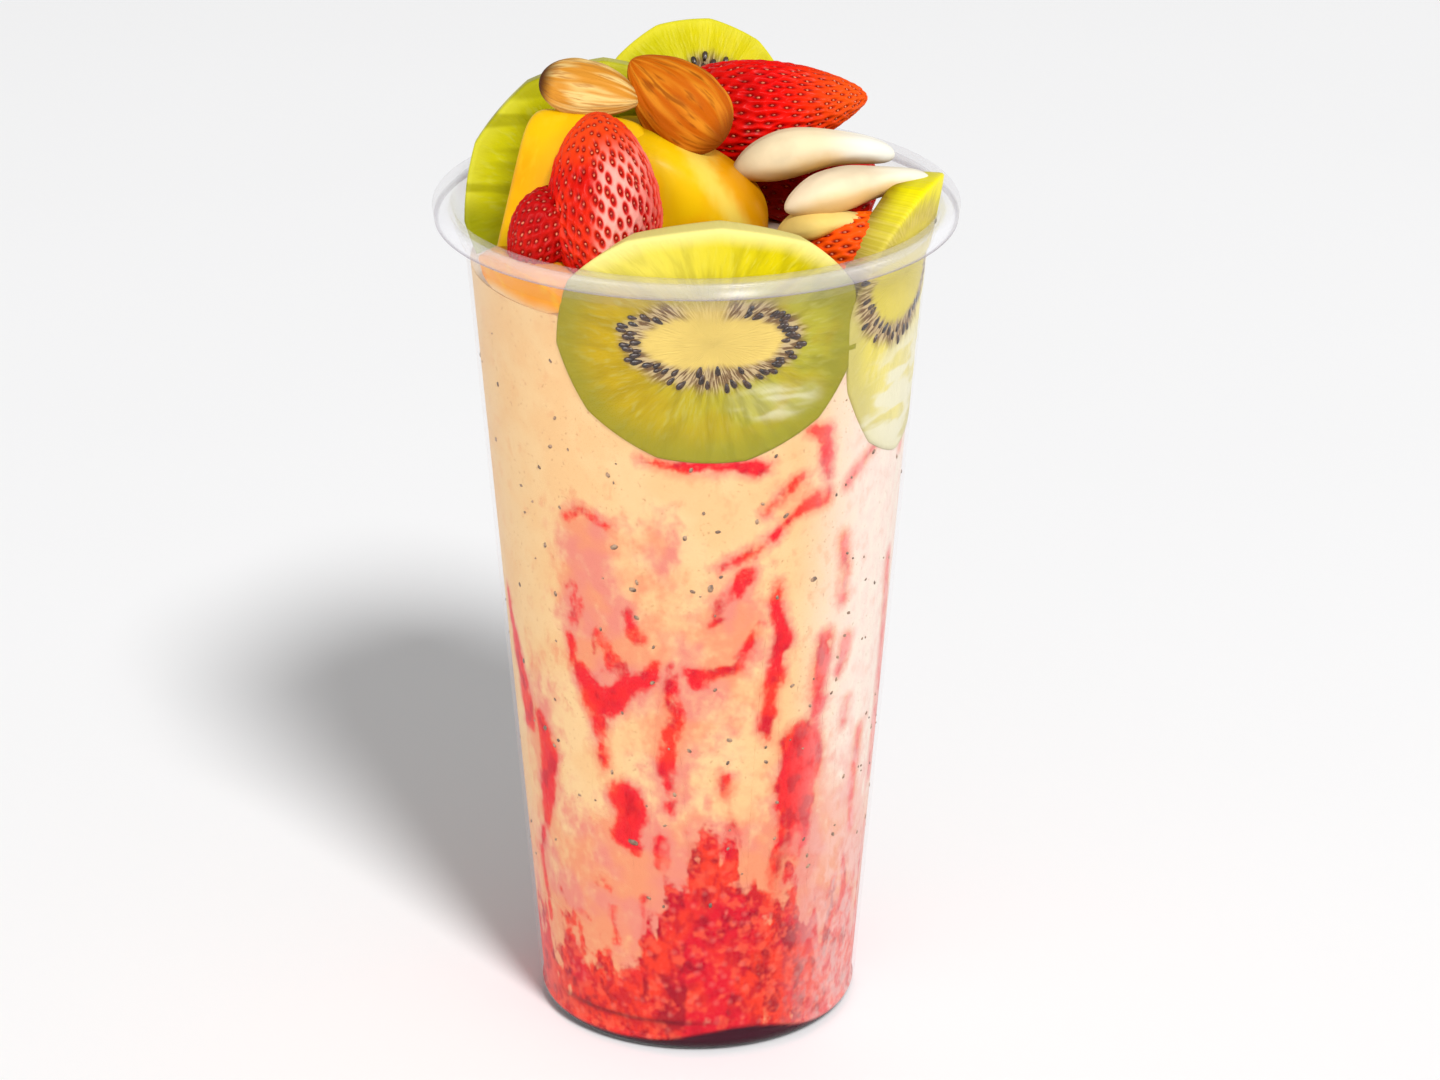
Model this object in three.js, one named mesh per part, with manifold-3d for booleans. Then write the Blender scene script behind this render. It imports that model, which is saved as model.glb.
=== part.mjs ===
// Fruit cocktail in a tall clear plastic cup: a thick peach-coloured smoothie poured over strawberry puree
// that runs up the wall in streaks, heaped with kiwi slices, mango, strawberries, almonds and cashews.
// Millimetres, +Z up, origin at the centre of the cup's foot. The side with the large kiwi slice faces -Y.
import * as THREE from "three";
import { RoundedBoxGeometry } from "three/addons/geometries/RoundedBoxGeometry.js";
import { mergeVertices } from "three/addons/utils/BufferGeometryUtils.js";
import Module from "manifold-3d";

const wasm = await Module();
wasm.setup();

// Driving dimensions.
const cupHeight = 158.2;
const rimRadius = 47.5;
const rimWidth = 3;
const rimDepth = 3.2;
const wallThickness = 0.8;
const footRadius = 26.3;
const footCorner = 3.4;
const wallBaseRadius = 29.6; // outside of the wall, carried down to the foot's height
const shoulderRadius = 41.7; // outside of the wall where it starts to flare into the rim
const shoulderHeight = 149.5;
const floorRecess = 1.1; // how far the floor's underside stands above the table
const roundSteps = 40;

const contactGap = 0.32; // clearance kept between pieces that touch, and between the contents and the wall
const drinkLevel = 147; // of the smoothie, at the wall
const drinkMound = 4.6; // how much higher it stands in the middle
const pureeLevel = 20;
const pureeSwell = 8; // how much higher the puree stands at the front
const streakDepth = 1.5;

const kiwiThickness = 5;
const kiwiFacets = 11; // flats that the peeling knife left round a slice
const seedLength = 2.2;
const seedWidth = 1.1;
const seedProud = 0.45; // how far a seed stands out of the slice's face
const seedClearance = 0.15; // between the seeds of a slice at the wall and the line that the contents keep to
const hollowReach = 5; // how far past that line the hollow of a piece at the wall is carried

const degrees = THREE.MathUtils.degToRad;

const colours = {
  plastic: { color: 0xf1f1f4, roughness: 0.12, metalness: 0, transparent: true, opacity: 0.3 },
  smoothie: { color: 0xf6cf95, roughness: 0.5, metalness: 0 },
  puree: { color: 0xe23a38, roughness: 0.4, metalness: 0 },
  kiwi: { color: 0xb9c233, roughness: 0.35, metalness: 0 },
  mango: { color: 0xf9bc14, roughness: 0.3, metalness: 0 },
  strawberry: { color: 0xd4190f, roughness: 0.32, metalness: 0 },
  almond: { color: 0xc57a2c, roughness: 0.6, metalness: 0 },
  cashew: { color: 0xf0dcb4, roughness: 0.5, metalness: 0 },
};

// Solids and meshes.

// The faces of a geometry as a solid, with shared corners merged and faces of no area dropped.
function solidOf(geometry) {
  const bare = geometry.index ? geometry.toNonIndexed() : geometry.clone();
  bare.deleteAttribute("normal");
  bare.deleteAttribute("uv");
  const merged = mergeVertices(bare, 1e-4);
  const corners = merged.index.array;
  const faces = [];
  for (let i = 0; i < corners.length; i += 3) {
    const [a, b, c] = [corners[i], corners[i + 1], corners[i + 2]];
    if (a !== b && b !== c && c !== a) faces.push(a, b, c);
  }
  const vertProperties = merged.attributes.position.array;
  return new wasm.Manifold(new wasm.Mesh({ numProp: 3, vertProperties, triVerts: new Uint32Array(faces) }));
}

function geometryOf(solid) {
  const mesh = solid.getMesh();
  const place = new Float32Array(mesh.numVert * 3);
  for (let i = 0; i < mesh.numVert; i++) {
    place.set(mesh.vertProperties.subarray(i * mesh.numProp, i * mesh.numProp + 3), i * 3);
  }
  const geometry = new THREE.BufferGeometry();
  geometry.setAttribute("position", new THREE.BufferAttribute(place, 3));
  geometry.setIndex(new THREE.BufferAttribute(new Uint32Array(mesh.triVerts), 1));
  geometry.computeVertexNormals();
  return geometry;
}

// The largest of the bodies that a cut leaves.
function mainBody(solid) {
  return solid.decompose().sort((a, b) => b.volume() - a.volume())[0];
}

// Moves every corner of a geometry with a function that changes the point it is given.
function reshape(geometry, change) {
  const place = geometry.getAttribute("position");
  const point = new THREE.Vector3();
  for (let i = 0; i < place.count; i++) {
    point.fromBufferAttribute(place, i);
    change(point);
    place.setXYZ(i, point.x, point.y, point.z);
  }
  return geometry;
}

// A solid grown outwards by the contact gap, to cut its neighbours with.
function grown(solid, gap) {
  const geometry = geometryOf(solid);
  const normals = geometry.getAttribute("normal");
  const place = geometry.getAttribute("position");
  for (let i = 0; i < place.count; i++) {
    place.setXYZ(
      i,
      place.getX(i) + gap * normals.getX(i),
      place.getY(i) + gap * normals.getY(i),
      place.getZ(i) + gap * normals.getZ(i),
    );
  }
  return solidOf(geometry);
}

// A turned solid about Z from [radius, height] pairs that start and end on the axis.
function turned(profile, steps = roundSteps) {
  const points = profile.map(([radius, height]) => new THREE.Vector2(radius, height));
  return new THREE.LatheGeometry(points, steps).rotateX(Math.PI / 2);
}

// The cup's profile.

function outerRadius(height) {
  return wallBaseRadius + ((shoulderRadius - wallBaseRadius) * height) / shoulderHeight;
}

function innerRadius(height) {
  return outerRadius(height) - wallThickness;
}

function arcPoints(centreRadius, centreHeight, radius, from, to, count) {
  const points = [];
  for (let i = 0; i <= count; i++) {
    const angle = degrees(from + ((to - from) * i) / count);
    points.push([centreRadius + radius * Math.cos(angle), centreHeight + radius * Math.sin(angle)]);
  }
  return points;
}

function cupProfile() {
  const rimInside = rimRadius - rimWidth;
  const bead = 0.9; // radius of the rim's rolled edge
  return [
    [0, floorRecess],
    [footRadius - 1.8, floorRecess],
    [footRadius - 0.8, 0],
    ...arcPoints(outerRadius(footCorner) - footCorner, footCorner, footCorner, -90, 0, 3),
    [shoulderRadius, shoulderHeight],
    [rimInside - 0.9, cupHeight - 4.4],
    [rimInside + 0.1, cupHeight - 0.9],
    [rimRadius - 1.7, cupHeight - 0.9],
    [rimRadius - 1.2, cupHeight - rimDepth],
    ...arcPoints(rimRadius - bead, cupHeight - bead, bead, 0, 90, 2),
    [rimInside - 0.3, cupHeight],
    [rimInside - 1.5, cupHeight - 3.9],
    [innerRadius(shoulderHeight), shoulderHeight],
    [innerRadius(floorRecess + 4), floorRecess + 4],
    [innerRadius(floorRecess + 4) - 1.4, floorRecess + 1.6],
    [footRadius - 1.2, floorRecess + wallThickness],
    [0, floorRecess + wallThickness],
  ];
}

// The space the contents may fill: inside the wall up to the rim, and as wide as the cup's mouth above it.
function spaceInside() {
  const mouth = rimRadius - rimWidth - 0.3 - contactGap;
  return solidOf(
    turned([
      [0, floorRecess + wallThickness + contactGap],
      [footRadius - 1.4 - contactGap, floorRecess + wallThickness + contactGap],
      [innerRadius(floorRecess + 4) - 1.4 - contactGap, floorRecess + 1.8 + contactGap],
      [innerRadius(floorRecess + 4) - contactGap, floorRecess + 4.2],
      [innerRadius(shoulderHeight) - contactGap, shoulderHeight],
      [mouth - 1.3, cupHeight - 3.8],
      [mouth, cupHeight],
      [mouth + 2, cupHeight + 6],
      [mouth + 2, cupHeight + 40],
      [0, cupHeight + 40],
    ]),
  );
}

// Kiwi slices and puree streaks: discs that lie flat or follow the wall.

// A disc of radius 1 in x and y whose z is -1 on one face and 1 on the other, with rings across both faces.
function disc(rings, steps) {
  const back = rings.map((ring) => [ring, -1]);
  const front = rings.map((ring) => [ring, 1]).reverse();
  return turned([[0, -1], ...back, [1, -0.6], [1, 0.6], ...front, [0, 1]], steps);
}

// How far the outline of a peeled slice falls inside its circle, as flats do.
function facetShare(angle, turn) {
  const side = (2 * Math.PI) / kiwiFacets;
  const within = (((angle + turn) % side) + side) % side;
  const flat = Math.cos(side / 2) / Math.cos(within - side / 2);
  return 1 - 0.8 * (1 - flat);
}

// The flesh of a slice in its own frame, z across its thickness: its faces are at -thickness and at 0.
function kiwiFlesh({ halfWidth, halfHeight, turn = 0, thickness = kiwiThickness }, grow = 0, reach = 0) {
  return reshape(disc([0.5, 0.94], 2 * kiwiFacets), (point) => {
    const share = facetShare(Math.atan2(point.y, point.x), turn);
    const across = ((point.z - 1) * thickness) / 2;
    point.x *= (halfWidth + grow) * share;
    point.y *= (halfHeight + grow) * share;
    point.z = across < -thickness / 2 ? across - grow : across + grow + reach;
  });
}

// A slice's seeds lie in an oval ring round its pale core and point away from it.
function kiwiSeeds({ ring, seeds, core = [0, 0] }) {
  const made = [];
  for (let i = 0; i < seeds; i++) {
    const angle = (2 * Math.PI * (i + 0.35 * Math.sin(7 * i))) / seeds;
    const out = 1 + 0.1 * Math.sin(5 * i + 1);
    const x = ring[0] * Math.cos(angle);
    const y = ring[1] * Math.sin(angle);
    const seed = new THREE.OctahedronGeometry(1);
    seed.scale(seedLength / 2, seedWidth / 2, 2 * seedProud);
    seed.rotateZ(Math.atan2(ring[0] * Math.sin(angle), ring[1] * Math.cos(angle)));
    seed.translate(core[0] + x * out, core[1] + y * out, -seedProud);
    made.push(seed);
  }
  return made;
}

// A whole slice: flesh and seeds, each moved by the same function, in one solid.
function kiwiSlice(size, move = () => {}) {
  const seeds = kiwiSeeds(size).map((seed) => solidOf(reshape(seed, move)));
  const shape = seeds.reduce((solid, seed) => solid.add(seed), solidOf(reshape(kiwiFlesh(size), move)));
  const hollow = reshape(kiwiFlesh(size, contactGap, size.reach ?? seedProud), move);
  return { shape: geometryOf(shape), hollow };
}

// Bends (x, y, outwards) onto the inside of the wall: x along it, y up it. With lean, the top stands out.
function ontoWall(point, centreHeight, lean = 0) {
  const radius = innerRadius(point.y + centreHeight) - contactGap + point.z + lean * point.y;
  const angle = point.x / innerRadius(centreHeight);
  point.set(radius * Math.sin(angle), -radius * Math.cos(angle), point.y);
}

// A slice that lies against the wall. Its hollow reaches through the wall, so no film is left before it.
function wallSlice(size, centreHeight) {
  return kiwiSlice({ ...size, reach: hollowReach }, (point) => {
    point.z -= seedProud + seedClearance;
    ontoWall(point, centreHeight, size.lean);
  });
}

// A streak of puree that has run down the wall.
function streak({ azimuth, high, halfWidth, low = 0 }, grow = 0) {
  const centreHeight = (low + high) / 2;
  const reach = (high - low) / 2;
  const geometry = reshape(disc([], 10), (point) => {
    const width = (halfWidth + grow) * (1 - 0.35 * point.y);
    point.set(point.x * width, point.y * (reach + grow), point.z > 0 ? hollowReach : -streakDepth - grow);
    ontoWall(point, centreHeight);
  });
  return solidOf(geometry.rotateZ(degrees(azimuth)).translate(0, 0, centreHeight));
}

// Fruit and nuts, each from a ball of evenly spread corners.

function ball(detail, change) {
  return reshape(new THREE.IcosahedronGeometry(1, detail), (point) => {
    point.normalize();
    change(point);
  });
}

// Tip down at -Z, broad shoulder at +Z, with shallow swellings between the seeds.
function strawberry({ length, width, depth = width, detail = 3, swell = 0.018, slope = 0.27 }) {
  return ball(detail, (point) => {
    const taper = 0.98 - 0.52 * slope + slope * point.z - 0.1 * point.z * point.z;
    const bump = 1 + swell * Math.sin(9 * Math.atan2(point.y, point.x)) * Math.cos(11 * point.z);
    const shoulder = point.z > 0.75 ? 0.75 + 0.55 * (point.z - 0.75) : point.z;
    point.set(
      (point.x * taper * bump * width) / 2,
      (point.y * taper * bump * depth) / 2,
      (shoulder * length) / 1.86,
    );
  });
}

// A rounded lump of mango, with one side that keeps the curve of the fruit.
function mango({ width, depth, height, squareness = 3.2, crown = 0.18, detail = 3 }) {
  return ball(detail, (point) => {
    const powers = point.toArray().map((share) => Math.abs(share) ** squareness);
    point.multiplyScalar((powers[0] + powers[1] + powers[2]) ** (-1 / squareness));
    const across = point.x * point.x;
    point.set(
      (point.x * width * (1 - 0.08 * point.z)) / 2,
      (point.y * depth) / 2 + crown * depth * across * 0.5,
      (point.z * height * (1 - crown * across)) / 2,
    );
  });
}

// A flat-sided piece of mango, narrower at the top by the taper and bowed across its width.
function mangoBlock({ width, depth, height, corner, taper, bow }) {
  return reshape(new RoundedBoxGeometry(width, depth, height, 2, corner), (point) => {
    point.x *= 1 - (taper * point.z) / height;
    point.y += bow * ((2 * point.x) / width) ** 2;
  });
}

// Long axis X with the point at +X, broad in Z, thin in Y.
function almond({ length, width, thickness, detail = 3 }) {
  return ball(detail, (point) => {
    const narrow = 1.02 - 0.2 * point.x - 0.2 * Math.max(point.x, 0) ** 2;
    const ridge = 1 + 0.03 * Math.cos((13 * point.z) / Math.max(0.3, Math.hypot(point.y, point.z)));
    point.set(
      (point.x * length) / 2,
      (point.y * narrow * ridge * thickness) / 2,
      (point.z * narrow * ridge * width) / 2,
    );
  });
}

// A kidney bent in the XZ plane with its hollow towards -Z, thicker at both ends than in the middle.
function cashew({ length, width, thickness, bend, detail = 3 }) {
  return ball(detail, (point) => {
    const along = point.x * (length / 2);
    const swell = 0.93 + 0.2 * Math.cos(3.2 * (point.x + 0.5));
    const turn = along / bend;
    const radius = bend + (point.z * swell * width) / 2;
    point.set(
      radius * Math.sin(turn),
      (point.y * swell * thickness) / 2,
      radius * Math.cos(turn) - bend,
    );
  });
}

// The pieces, in the order in which they push each other aside: a later one gives way to an earlier one.

const kiwiFrontHeight = 143.9;
const kiwiRightHeight = 140.5;
const kiwiRearHeight = 141;

const fruit = [
  {
    name: "kiwi_front",
    material: "kiwi",
    ...wallSlice(
      { halfWidth: 29.2, halfHeight: 22.7, ring: [15.4, 8], core: [0.6, 0.4], turn: 0.2, seeds: 24 },
      kiwiFrontHeight,
    ),
    place: [0, 0, kiwiFrontHeight],
    turn: [0, 0, 3.9],
  },
  {
    name: "kiwi_right",
    material: "kiwi",
    ...wallSlice(
      {
        halfWidth: 21,
        halfHeight: 26,
        ring: [9, 11],
        core: [0, -4],
        turn: 0.5,
        seeds: 13,
        thickness: 7,
        lean: 0.09,
      },
      kiwiRightHeight,
    ),
    place: [0, 0, kiwiRightHeight],
    turn: [0, 0, 70.5],
  },
  {
    name: "kiwi_rear",
    material: "kiwi",
    ...wallSlice({ halfWidth: 22.5, halfHeight: 22, ring: [12, 10], turn: 0.1, seeds: 6 }, kiwiRearHeight),
    place: [0, 0, kiwiRearHeight],
    turn: [0, 0, -158],
  },
  {
    name: "kiwi_left",
    material: "kiwi",
    ...kiwiSlice({ halfWidth: 25.4, halfHeight: 25.4, ring: [10, 11], seeds: 7, thickness: 8 }),
    place: [-16.7, 0.4, 156.8],
    turn: [78, 0, -8],
  },
  {
    name: "kiwi_back",
    material: "kiwi",
    ...kiwiSlice({
      halfWidth: 17.4,
      halfHeight: 17.4,
      ring: [7.6, 7.4],
      core: [0.3, -1.2],
      turn: 0.3,
      seeds: 9,
      thickness: 6,
    }),
    place: [-0.3, 19.5, 168.4],
    turn: [55, 0, 0],
  },
  {
    name: "strawberry_front",
    material: "strawberry",
    shape: strawberry({ length: 30, width: 22, depth: 19, slope: 0.1 }),
    place: [-16.2, -24.2, 165],
    turn: [158, 4, 0],
  },
  {
    name: "strawberry_side",
    material: "strawberry",
    shape: strawberry({ length: 21, width: 15.4, depth: 15.5, detail: 2 }),
    place: [-27, -24, 158],
    turn: [14, 22, 0],
  },
  {
    name: "strawberry_back",
    material: "strawberry",
    shape: strawberry({ length: 36, width: 22 }),
    place: [11.6, 5, 172.6],
    turn: [0, -98, 8],
  },
  {
    name: "strawberry_right",
    material: "strawberry",
    shape: strawberry({ length: 26, width: 17, depth: 15, detail: 2 }),
    place: [24, -19.6, 154],
    turn: [0, 78, 38],
  },
  {
    name: "strawberry_low",
    material: "strawberry",
    shape: strawberry({ length: 27, width: 20, detail: 2 }),
    place: [20, 8, 157.6],
    turn: [12, 84, -30],
  },
  {
    name: "strawberry_rear",
    material: "strawberry",
    shape: strawberry({ length: 28, width: 20, detail: 2 }),
    place: [-21, 21, 162],
    turn: [20, -160, 30],
  },
  {
    name: "almond_middle",
    material: "almond",
    shape: almond({ length: 21.8, width: 14.6, thickness: 8.6 }),
    place: [-3.4, -10.4, 179.2],
    turn: [-24, 222, 0],
  },
  {
    name: "almond_left",
    material: "almond",
    shape: almond({ length: 18.8, width: 10.6, thickness: 7.4 }),
    place: [-18.5, -9.6, 181.1],
    turn: [-52, 14, 0],
  },
  {
    name: "cashew_upper",
    material: "cashew",
    shape: cashew({ length: 30, width: 8.6, thickness: 8.4, bend: 36 }),
    place: [20.6, -7, 169.2],
    turn: [0, -5, 6],
  },
  {
    name: "cashew_lower",
    material: "cashew",
    shape: cashew({ length: 29, width: 7.8, thickness: 10, bend: 60 }),
    place: [28.2, -16.5, 165.6],
    turn: [-20, -12, 24],
  },
  {
    name: "cashew_half",
    material: "cashew",
    shape: cashew({ length: 17, width: 5.2, thickness: 8, bend: 26, detail: 2 }),
    place: [22.4, -21.4, 160.6],
    turn: [0, -4, 10],
  },
  {
    name: "mango_left",
    material: "mango",
    shape: mangoBlock({ width: 25, depth: 12, height: 33.4, corner: 3.4, taper: 0.1, bow: 2 }),
    place: [-20.9, -15.6, 161],
    turn: [-22, 9, -14],
  },
  {
    name: "mango_middle",
    material: "mango",
    shape: mango({ width: 37, depth: 24, height: 25, squareness: 3.4, crown: 0.1 }),
    place: [-5, -10.6, 159.6],
    turn: [-4, 30, 0],
  },
  {
    name: "mango_back",
    material: "mango",
    shape: mango({ width: 28, depth: 17, height: 20, detail: 2 }),
    place: [3, 27, 157],
    turn: [0, 0, 10],
  },
  {
    name: "mango_low",
    material: "mango",
    shape: mango({ width: 26, depth: 17, height: 10, detail: 1 }),
    place: [-27.4, -23, 151],
    turn: [0, 0, -38],
  },
];

const streaks = [
  { azimuth: -64, high: 88, halfWidth: 3.4 },
  { azimuth: -29, high: 76, halfWidth: 4.4 },
  { azimuth: -9, high: 80, halfWidth: 3.6 },
  { azimuth: 11, high: 49, halfWidth: 4.2 },
  { azimuth: 22, high: 94, halfWidth: 2.8 },
  { azimuth: 33, high: 70, halfWidth: 5.4 },
  { azimuth: 45, high: 85, halfWidth: 2.8 },
  { azimuth: 80, high: 60, halfWidth: 4 },
  { azimuth: 118, high: 84, halfWidth: 4.4 },
  { azimuth: 160, high: 58, halfWidth: 5 },
  { azimuth: -150, high: 79, halfWidth: 3.8 },
  { azimuth: -104, high: 64, halfWidth: 4.4 },
];

// Building.

const space = spaceInside();

function mesh(name, material, geometry) {
  const made = new THREE.Mesh(geometry, new THREE.MeshStandardMaterial(colours[material]));
  made.name = name;
  return made;
}

// The fruit and nuts, each cut to stay inside the cup and clear of every piece before it.
function makeFruit() {
  const heap = new THREE.Group();
  const hollows = [];
  for (const { name, material, shape, hollow, place, turn } of fruit) {
    const piece = mesh(name, material, shape);
    piece.position.set(...place);
    piece.rotation.set(...turn.map(degrees));
    piece.updateMatrix();
    const whole = solidOf(shape.clone().applyMatrix4(piece.matrix));
    let solid = whole.intersect(space);
    for (const other of hollows) solid = solid.subtract(other);
    hollows.push(hollow ? solidOf(hollow.applyMatrix4(piece.matrix)) : grown(whole, contactGap));
    piece.geometry = geometryOf(mainBody(solid)).applyMatrix4(piece.matrix.clone().invert());
    heap.add(piece);
  }
  return { heap, hollows };
}

// A block wider than the cup, whose top is at the height that a function gives for a place.
function filling(rings, height) {
  const reach = 50;
  const top = rings.map((ring) => [ring * reach, 1]);
  return solidOf(
    reshape(turned([[0, 0], [reach, 0], [reach, 1], ...top, [0, 1]]), (point) => {
      if (point.z > 0.5) point.z = height(point.x, point.y);
    }),
  );
}

// The puree's upper edge rises and falls round the cup.
function pureeTop(x, y) {
  const away = Math.min(1, Math.hypot(x, y) / 30);
  const azimuth = Math.atan2(x, -y);
  return pureeLevel + away * (pureeSwell * Math.cos(azimuth - 0.15) + 3 * Math.sin(4 * azimuth));
}

function makePuree() {
  let solid = filling([0.6], pureeTop);
  for (const run of streaks) solid = solid.add(streak(run));
  return mainBody(solid.intersect(space));
}

function makeSmoothie(hollows) {
  const width = innerRadius(drinkLevel);
  const top = (x, y) => drinkLevel + drinkMound * Math.max(0, 1 - (Math.hypot(x, y) / width) ** 4);
  let solid = filling([0.66], top).intersect(space);
  solid = solid.subtract(filling([0.6], (x, y) => pureeTop(x, y) + contactGap));
  for (const run of streaks) solid = solid.subtract(streak(run, contactGap));
  for (const hollow of hollows) solid = solid.subtract(hollow);
  return mainBody(solid);
}

const { heap, hollows } = makeFruit();

const cocktail = new THREE.Group();
cocktail.add(mesh("cup", "plastic", turned(cupProfile())));
cocktail.add(mesh("strawberry_puree", "puree", geometryOf(makePuree())));
cocktail.add(mesh("smoothie", "smoothie", geometryOf(makeSmoothie(hollows))));
cocktail.add(heap);

export default cocktail;
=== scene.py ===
import math
import random

import bmesh
import bpy
from mathutils import Euler, Matrix, Vector, noise
from mathutils.kdtree import KDTree


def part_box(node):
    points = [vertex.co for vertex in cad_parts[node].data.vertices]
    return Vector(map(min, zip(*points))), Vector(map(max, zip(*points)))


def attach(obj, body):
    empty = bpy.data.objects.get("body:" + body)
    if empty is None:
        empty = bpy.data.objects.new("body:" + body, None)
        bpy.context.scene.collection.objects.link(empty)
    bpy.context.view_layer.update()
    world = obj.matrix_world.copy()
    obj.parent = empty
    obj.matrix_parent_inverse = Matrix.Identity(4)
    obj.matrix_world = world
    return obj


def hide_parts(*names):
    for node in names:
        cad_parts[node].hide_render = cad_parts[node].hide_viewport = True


# Fruit cocktail in a tall clear plastic cup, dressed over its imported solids.
# Shapes are worked out in millimetres, and a piece is scaled to metres when it is finished.
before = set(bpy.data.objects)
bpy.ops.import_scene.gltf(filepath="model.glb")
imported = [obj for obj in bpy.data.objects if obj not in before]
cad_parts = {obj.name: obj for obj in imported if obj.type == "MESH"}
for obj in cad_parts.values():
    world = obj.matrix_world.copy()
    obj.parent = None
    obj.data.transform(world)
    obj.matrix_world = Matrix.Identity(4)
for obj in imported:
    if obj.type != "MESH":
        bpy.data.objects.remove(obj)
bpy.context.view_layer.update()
scene = bpy.context.scene
mm = 0.001
print("frame loaded:", len(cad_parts), "solids")


# Camera and light

camera = {
    "lens": 135.57,  # mm, on a 36 mm sensor
    "aim": (4.24, 0, 91.155),  # the cup stands a little left of the picture's middle
    "distance": 1000,
    "elevation": 22.444,
}

lights = {
    "key": {"place": (2080, -5072, 5824), "size": 1700, "power": 535, "foodOnly": False},
    "leftFill": {"place": (-800, -850, 280), "size": 800, "power": 14.5, "foodOnly": True},
    "rightFill": {"place": (1000, -250, 350), "size": 600, "power": 8, "foodOnly": True},
    "sky": 0.4,
    "skyInGloss": 0.9,  # a white studio as wet and glossy faces mirror it
    "floor": (0.96, 0.96, 0.965),
}
foodCollection = bpy.data.collections.new("food")


def aimAt(thing, place, aim):
    thing.location = Vector(place) * mm
    thing.rotation_euler = (Vector(aim) - Vector(place)).to_track_quat("-Z", "Y").to_euler()
    scene.collection.objects.link(thing)


def makeCamera():
    data = bpy.data.cameras.new("camera")
    data.lens = camera["lens"]
    data.sensor_width = 36
    data.clip_start = 0.05
    data.clip_end = 20
    rise = math.radians(camera["elevation"])
    back = Vector((0, -math.cos(rise), math.sin(rise))) * camera["distance"]
    scene.camera = bpy.data.objects.new("camera", data)
    aimAt(scene.camera, Vector(camera["aim"]) + back, camera["aim"])


def makeLights():
    for name in ("key", "leftFill", "rightFill"):
        light = lights[name]
        data = bpy.data.lights.new(name, "AREA")
        data.shape = "DISK"
        data.size = light["size"] * mm
        data.energy = light["power"]
        lamp = bpy.data.objects.new(name, data)
        aimAt(lamp, light["place"], (0, 0, 90))
        if light["foodOnly"]:  # the floor keeps its dark shadow, and nothing mirrors the lamp
            lamp.light_linking.receiver_collection = foodCollection
            data.specular_factor = 0
    world = bpy.data.worlds.new("studio")
    world.use_nodes = True
    canvas["tree"] = world.node_tree
    mirrored = addNode("LightPath", {}).outputs["Is Glossy Ray"]
    strength = smooth(mirrored, 0, 1, lights["sky"], lights["skyInGloss"])
    sky = world.node_tree.nodes["Background"]
    sky.inputs["Color"].default_value = (1, 1, 1, 1)
    world.node_tree.links.new(strength, sky.inputs["Strength"])
    scene.world = world
    scene.view_settings.view_transform = "Standard"


# Materials: nodes read object coordinates, or the attributes that a piece carries.

canvas = {"tree": None}  # new nodes go to this tree: the last material's, or the world's
exposure = {"fruit": 0.6, "drink": 0.58}  # own colours are this much darker than they look when lit


def tint(red, green, blue, part="fruit"):
    # a colour as it looks on the screen (255 is white, and some fruit is lit past it), made linear
    parts = [c / 255 for c in (red, green, blue)]
    linear = [c / 12.92 if c <= 0.04045 else ((c + 0.055) / 1.055) ** 2.4 for c in parts]
    return tuple(c * exposure[part] for c in linear) + (1,)


def addNode(kind, sockets, **settings):
    tree = canvas["tree"]
    node = tree.nodes.new("ShaderNode" + kind)
    for key, value in settings.items():
        setattr(node, key, value)
    for key, value in sockets.items():
        if isinstance(value, bpy.types.NodeSocket):
            tree.links.new(value, node.inputs[key])
        else:
            node.inputs[key].default_value = value
    return node


def newMaterial(name, roughness, gloss=0.5, **coat):
    material = bpy.data.materials.new(name)
    material.use_nodes = True
    canvas["tree"] = material.node_tree
    sockets = {"Roughness": roughness, "Specular IOR Level": gloss, **coat}
    for key, value in sockets.items():
        material.node_tree.nodes["Principled BSDF"].inputs[key.replace("_", " ")].default_value = value
    return material


def finishMaterial(material, colour, relief=None, depth=0.0001, strength=0.4):
    tree = material.node_tree
    shader = tree.nodes["Principled BSDF"]
    tree.links.new(colour, shader.inputs["Base Color"])
    if relief is not None:
        bump = addNode("Bump", {"Height": relief, "Distance": depth, "Strength": strength})
        tree.links.new(bump.outputs[0], shader.inputs["Normal"])
    return material


def objectPlace(stretch=(1, 1, 1)):
    place = addNode("TexCoord", {}).outputs["Object"]
    return addNode("Mapping", {"Vector": place, "Scale": stretch}).outputs[0]


def attribute(name, output="Fac"):
    return addNode("Attribute", {}, attribute_name=name).outputs[output]


def noiseOf(vector, scale, detail=2.0, roughness=0.5):
    sockets = {"Vector": vector, "Scale": scale, "Detail": detail, "Roughness": roughness}
    return addNode("TexNoise", sockets).outputs["Fac"]


def sums(operation, first, second, third=0.0):
    node = addNode("Math", {0: first, 1: second, 2: third}, operation=operation)
    return node.outputs[0]


def smooth(value, low, high, bottom=0.0, top=1.0):
    sockets = {"Value": value, "From Min": low, "From Max": high, "To Min": bottom, "To Max": top}
    return addNode("MapRange", sockets, interpolation_type="SMOOTHSTEP").outputs[0]


def shaded(colour, share):
    return tuple(c * share for c in colour[:3]) + (1,)


def blendOf(factor, first, second):
    return addNode("Mix", {0: factor, 6: first, 7: second}, data_type="RGBA").outputs[2]


def over(under, colour, amount, low, high, share=1.0):
    # lays a colour over another where an amount rises from low to high
    return blendOf(smooth(amount, low, high, 0, share), under, colour)


def ruffled(value, grain, strength):
    # noise added to a value breaks the line at which its colour changes
    return sums("MULTIPLY_ADD", sums("SUBTRACT", grain, 0.5), strength, value)


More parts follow.
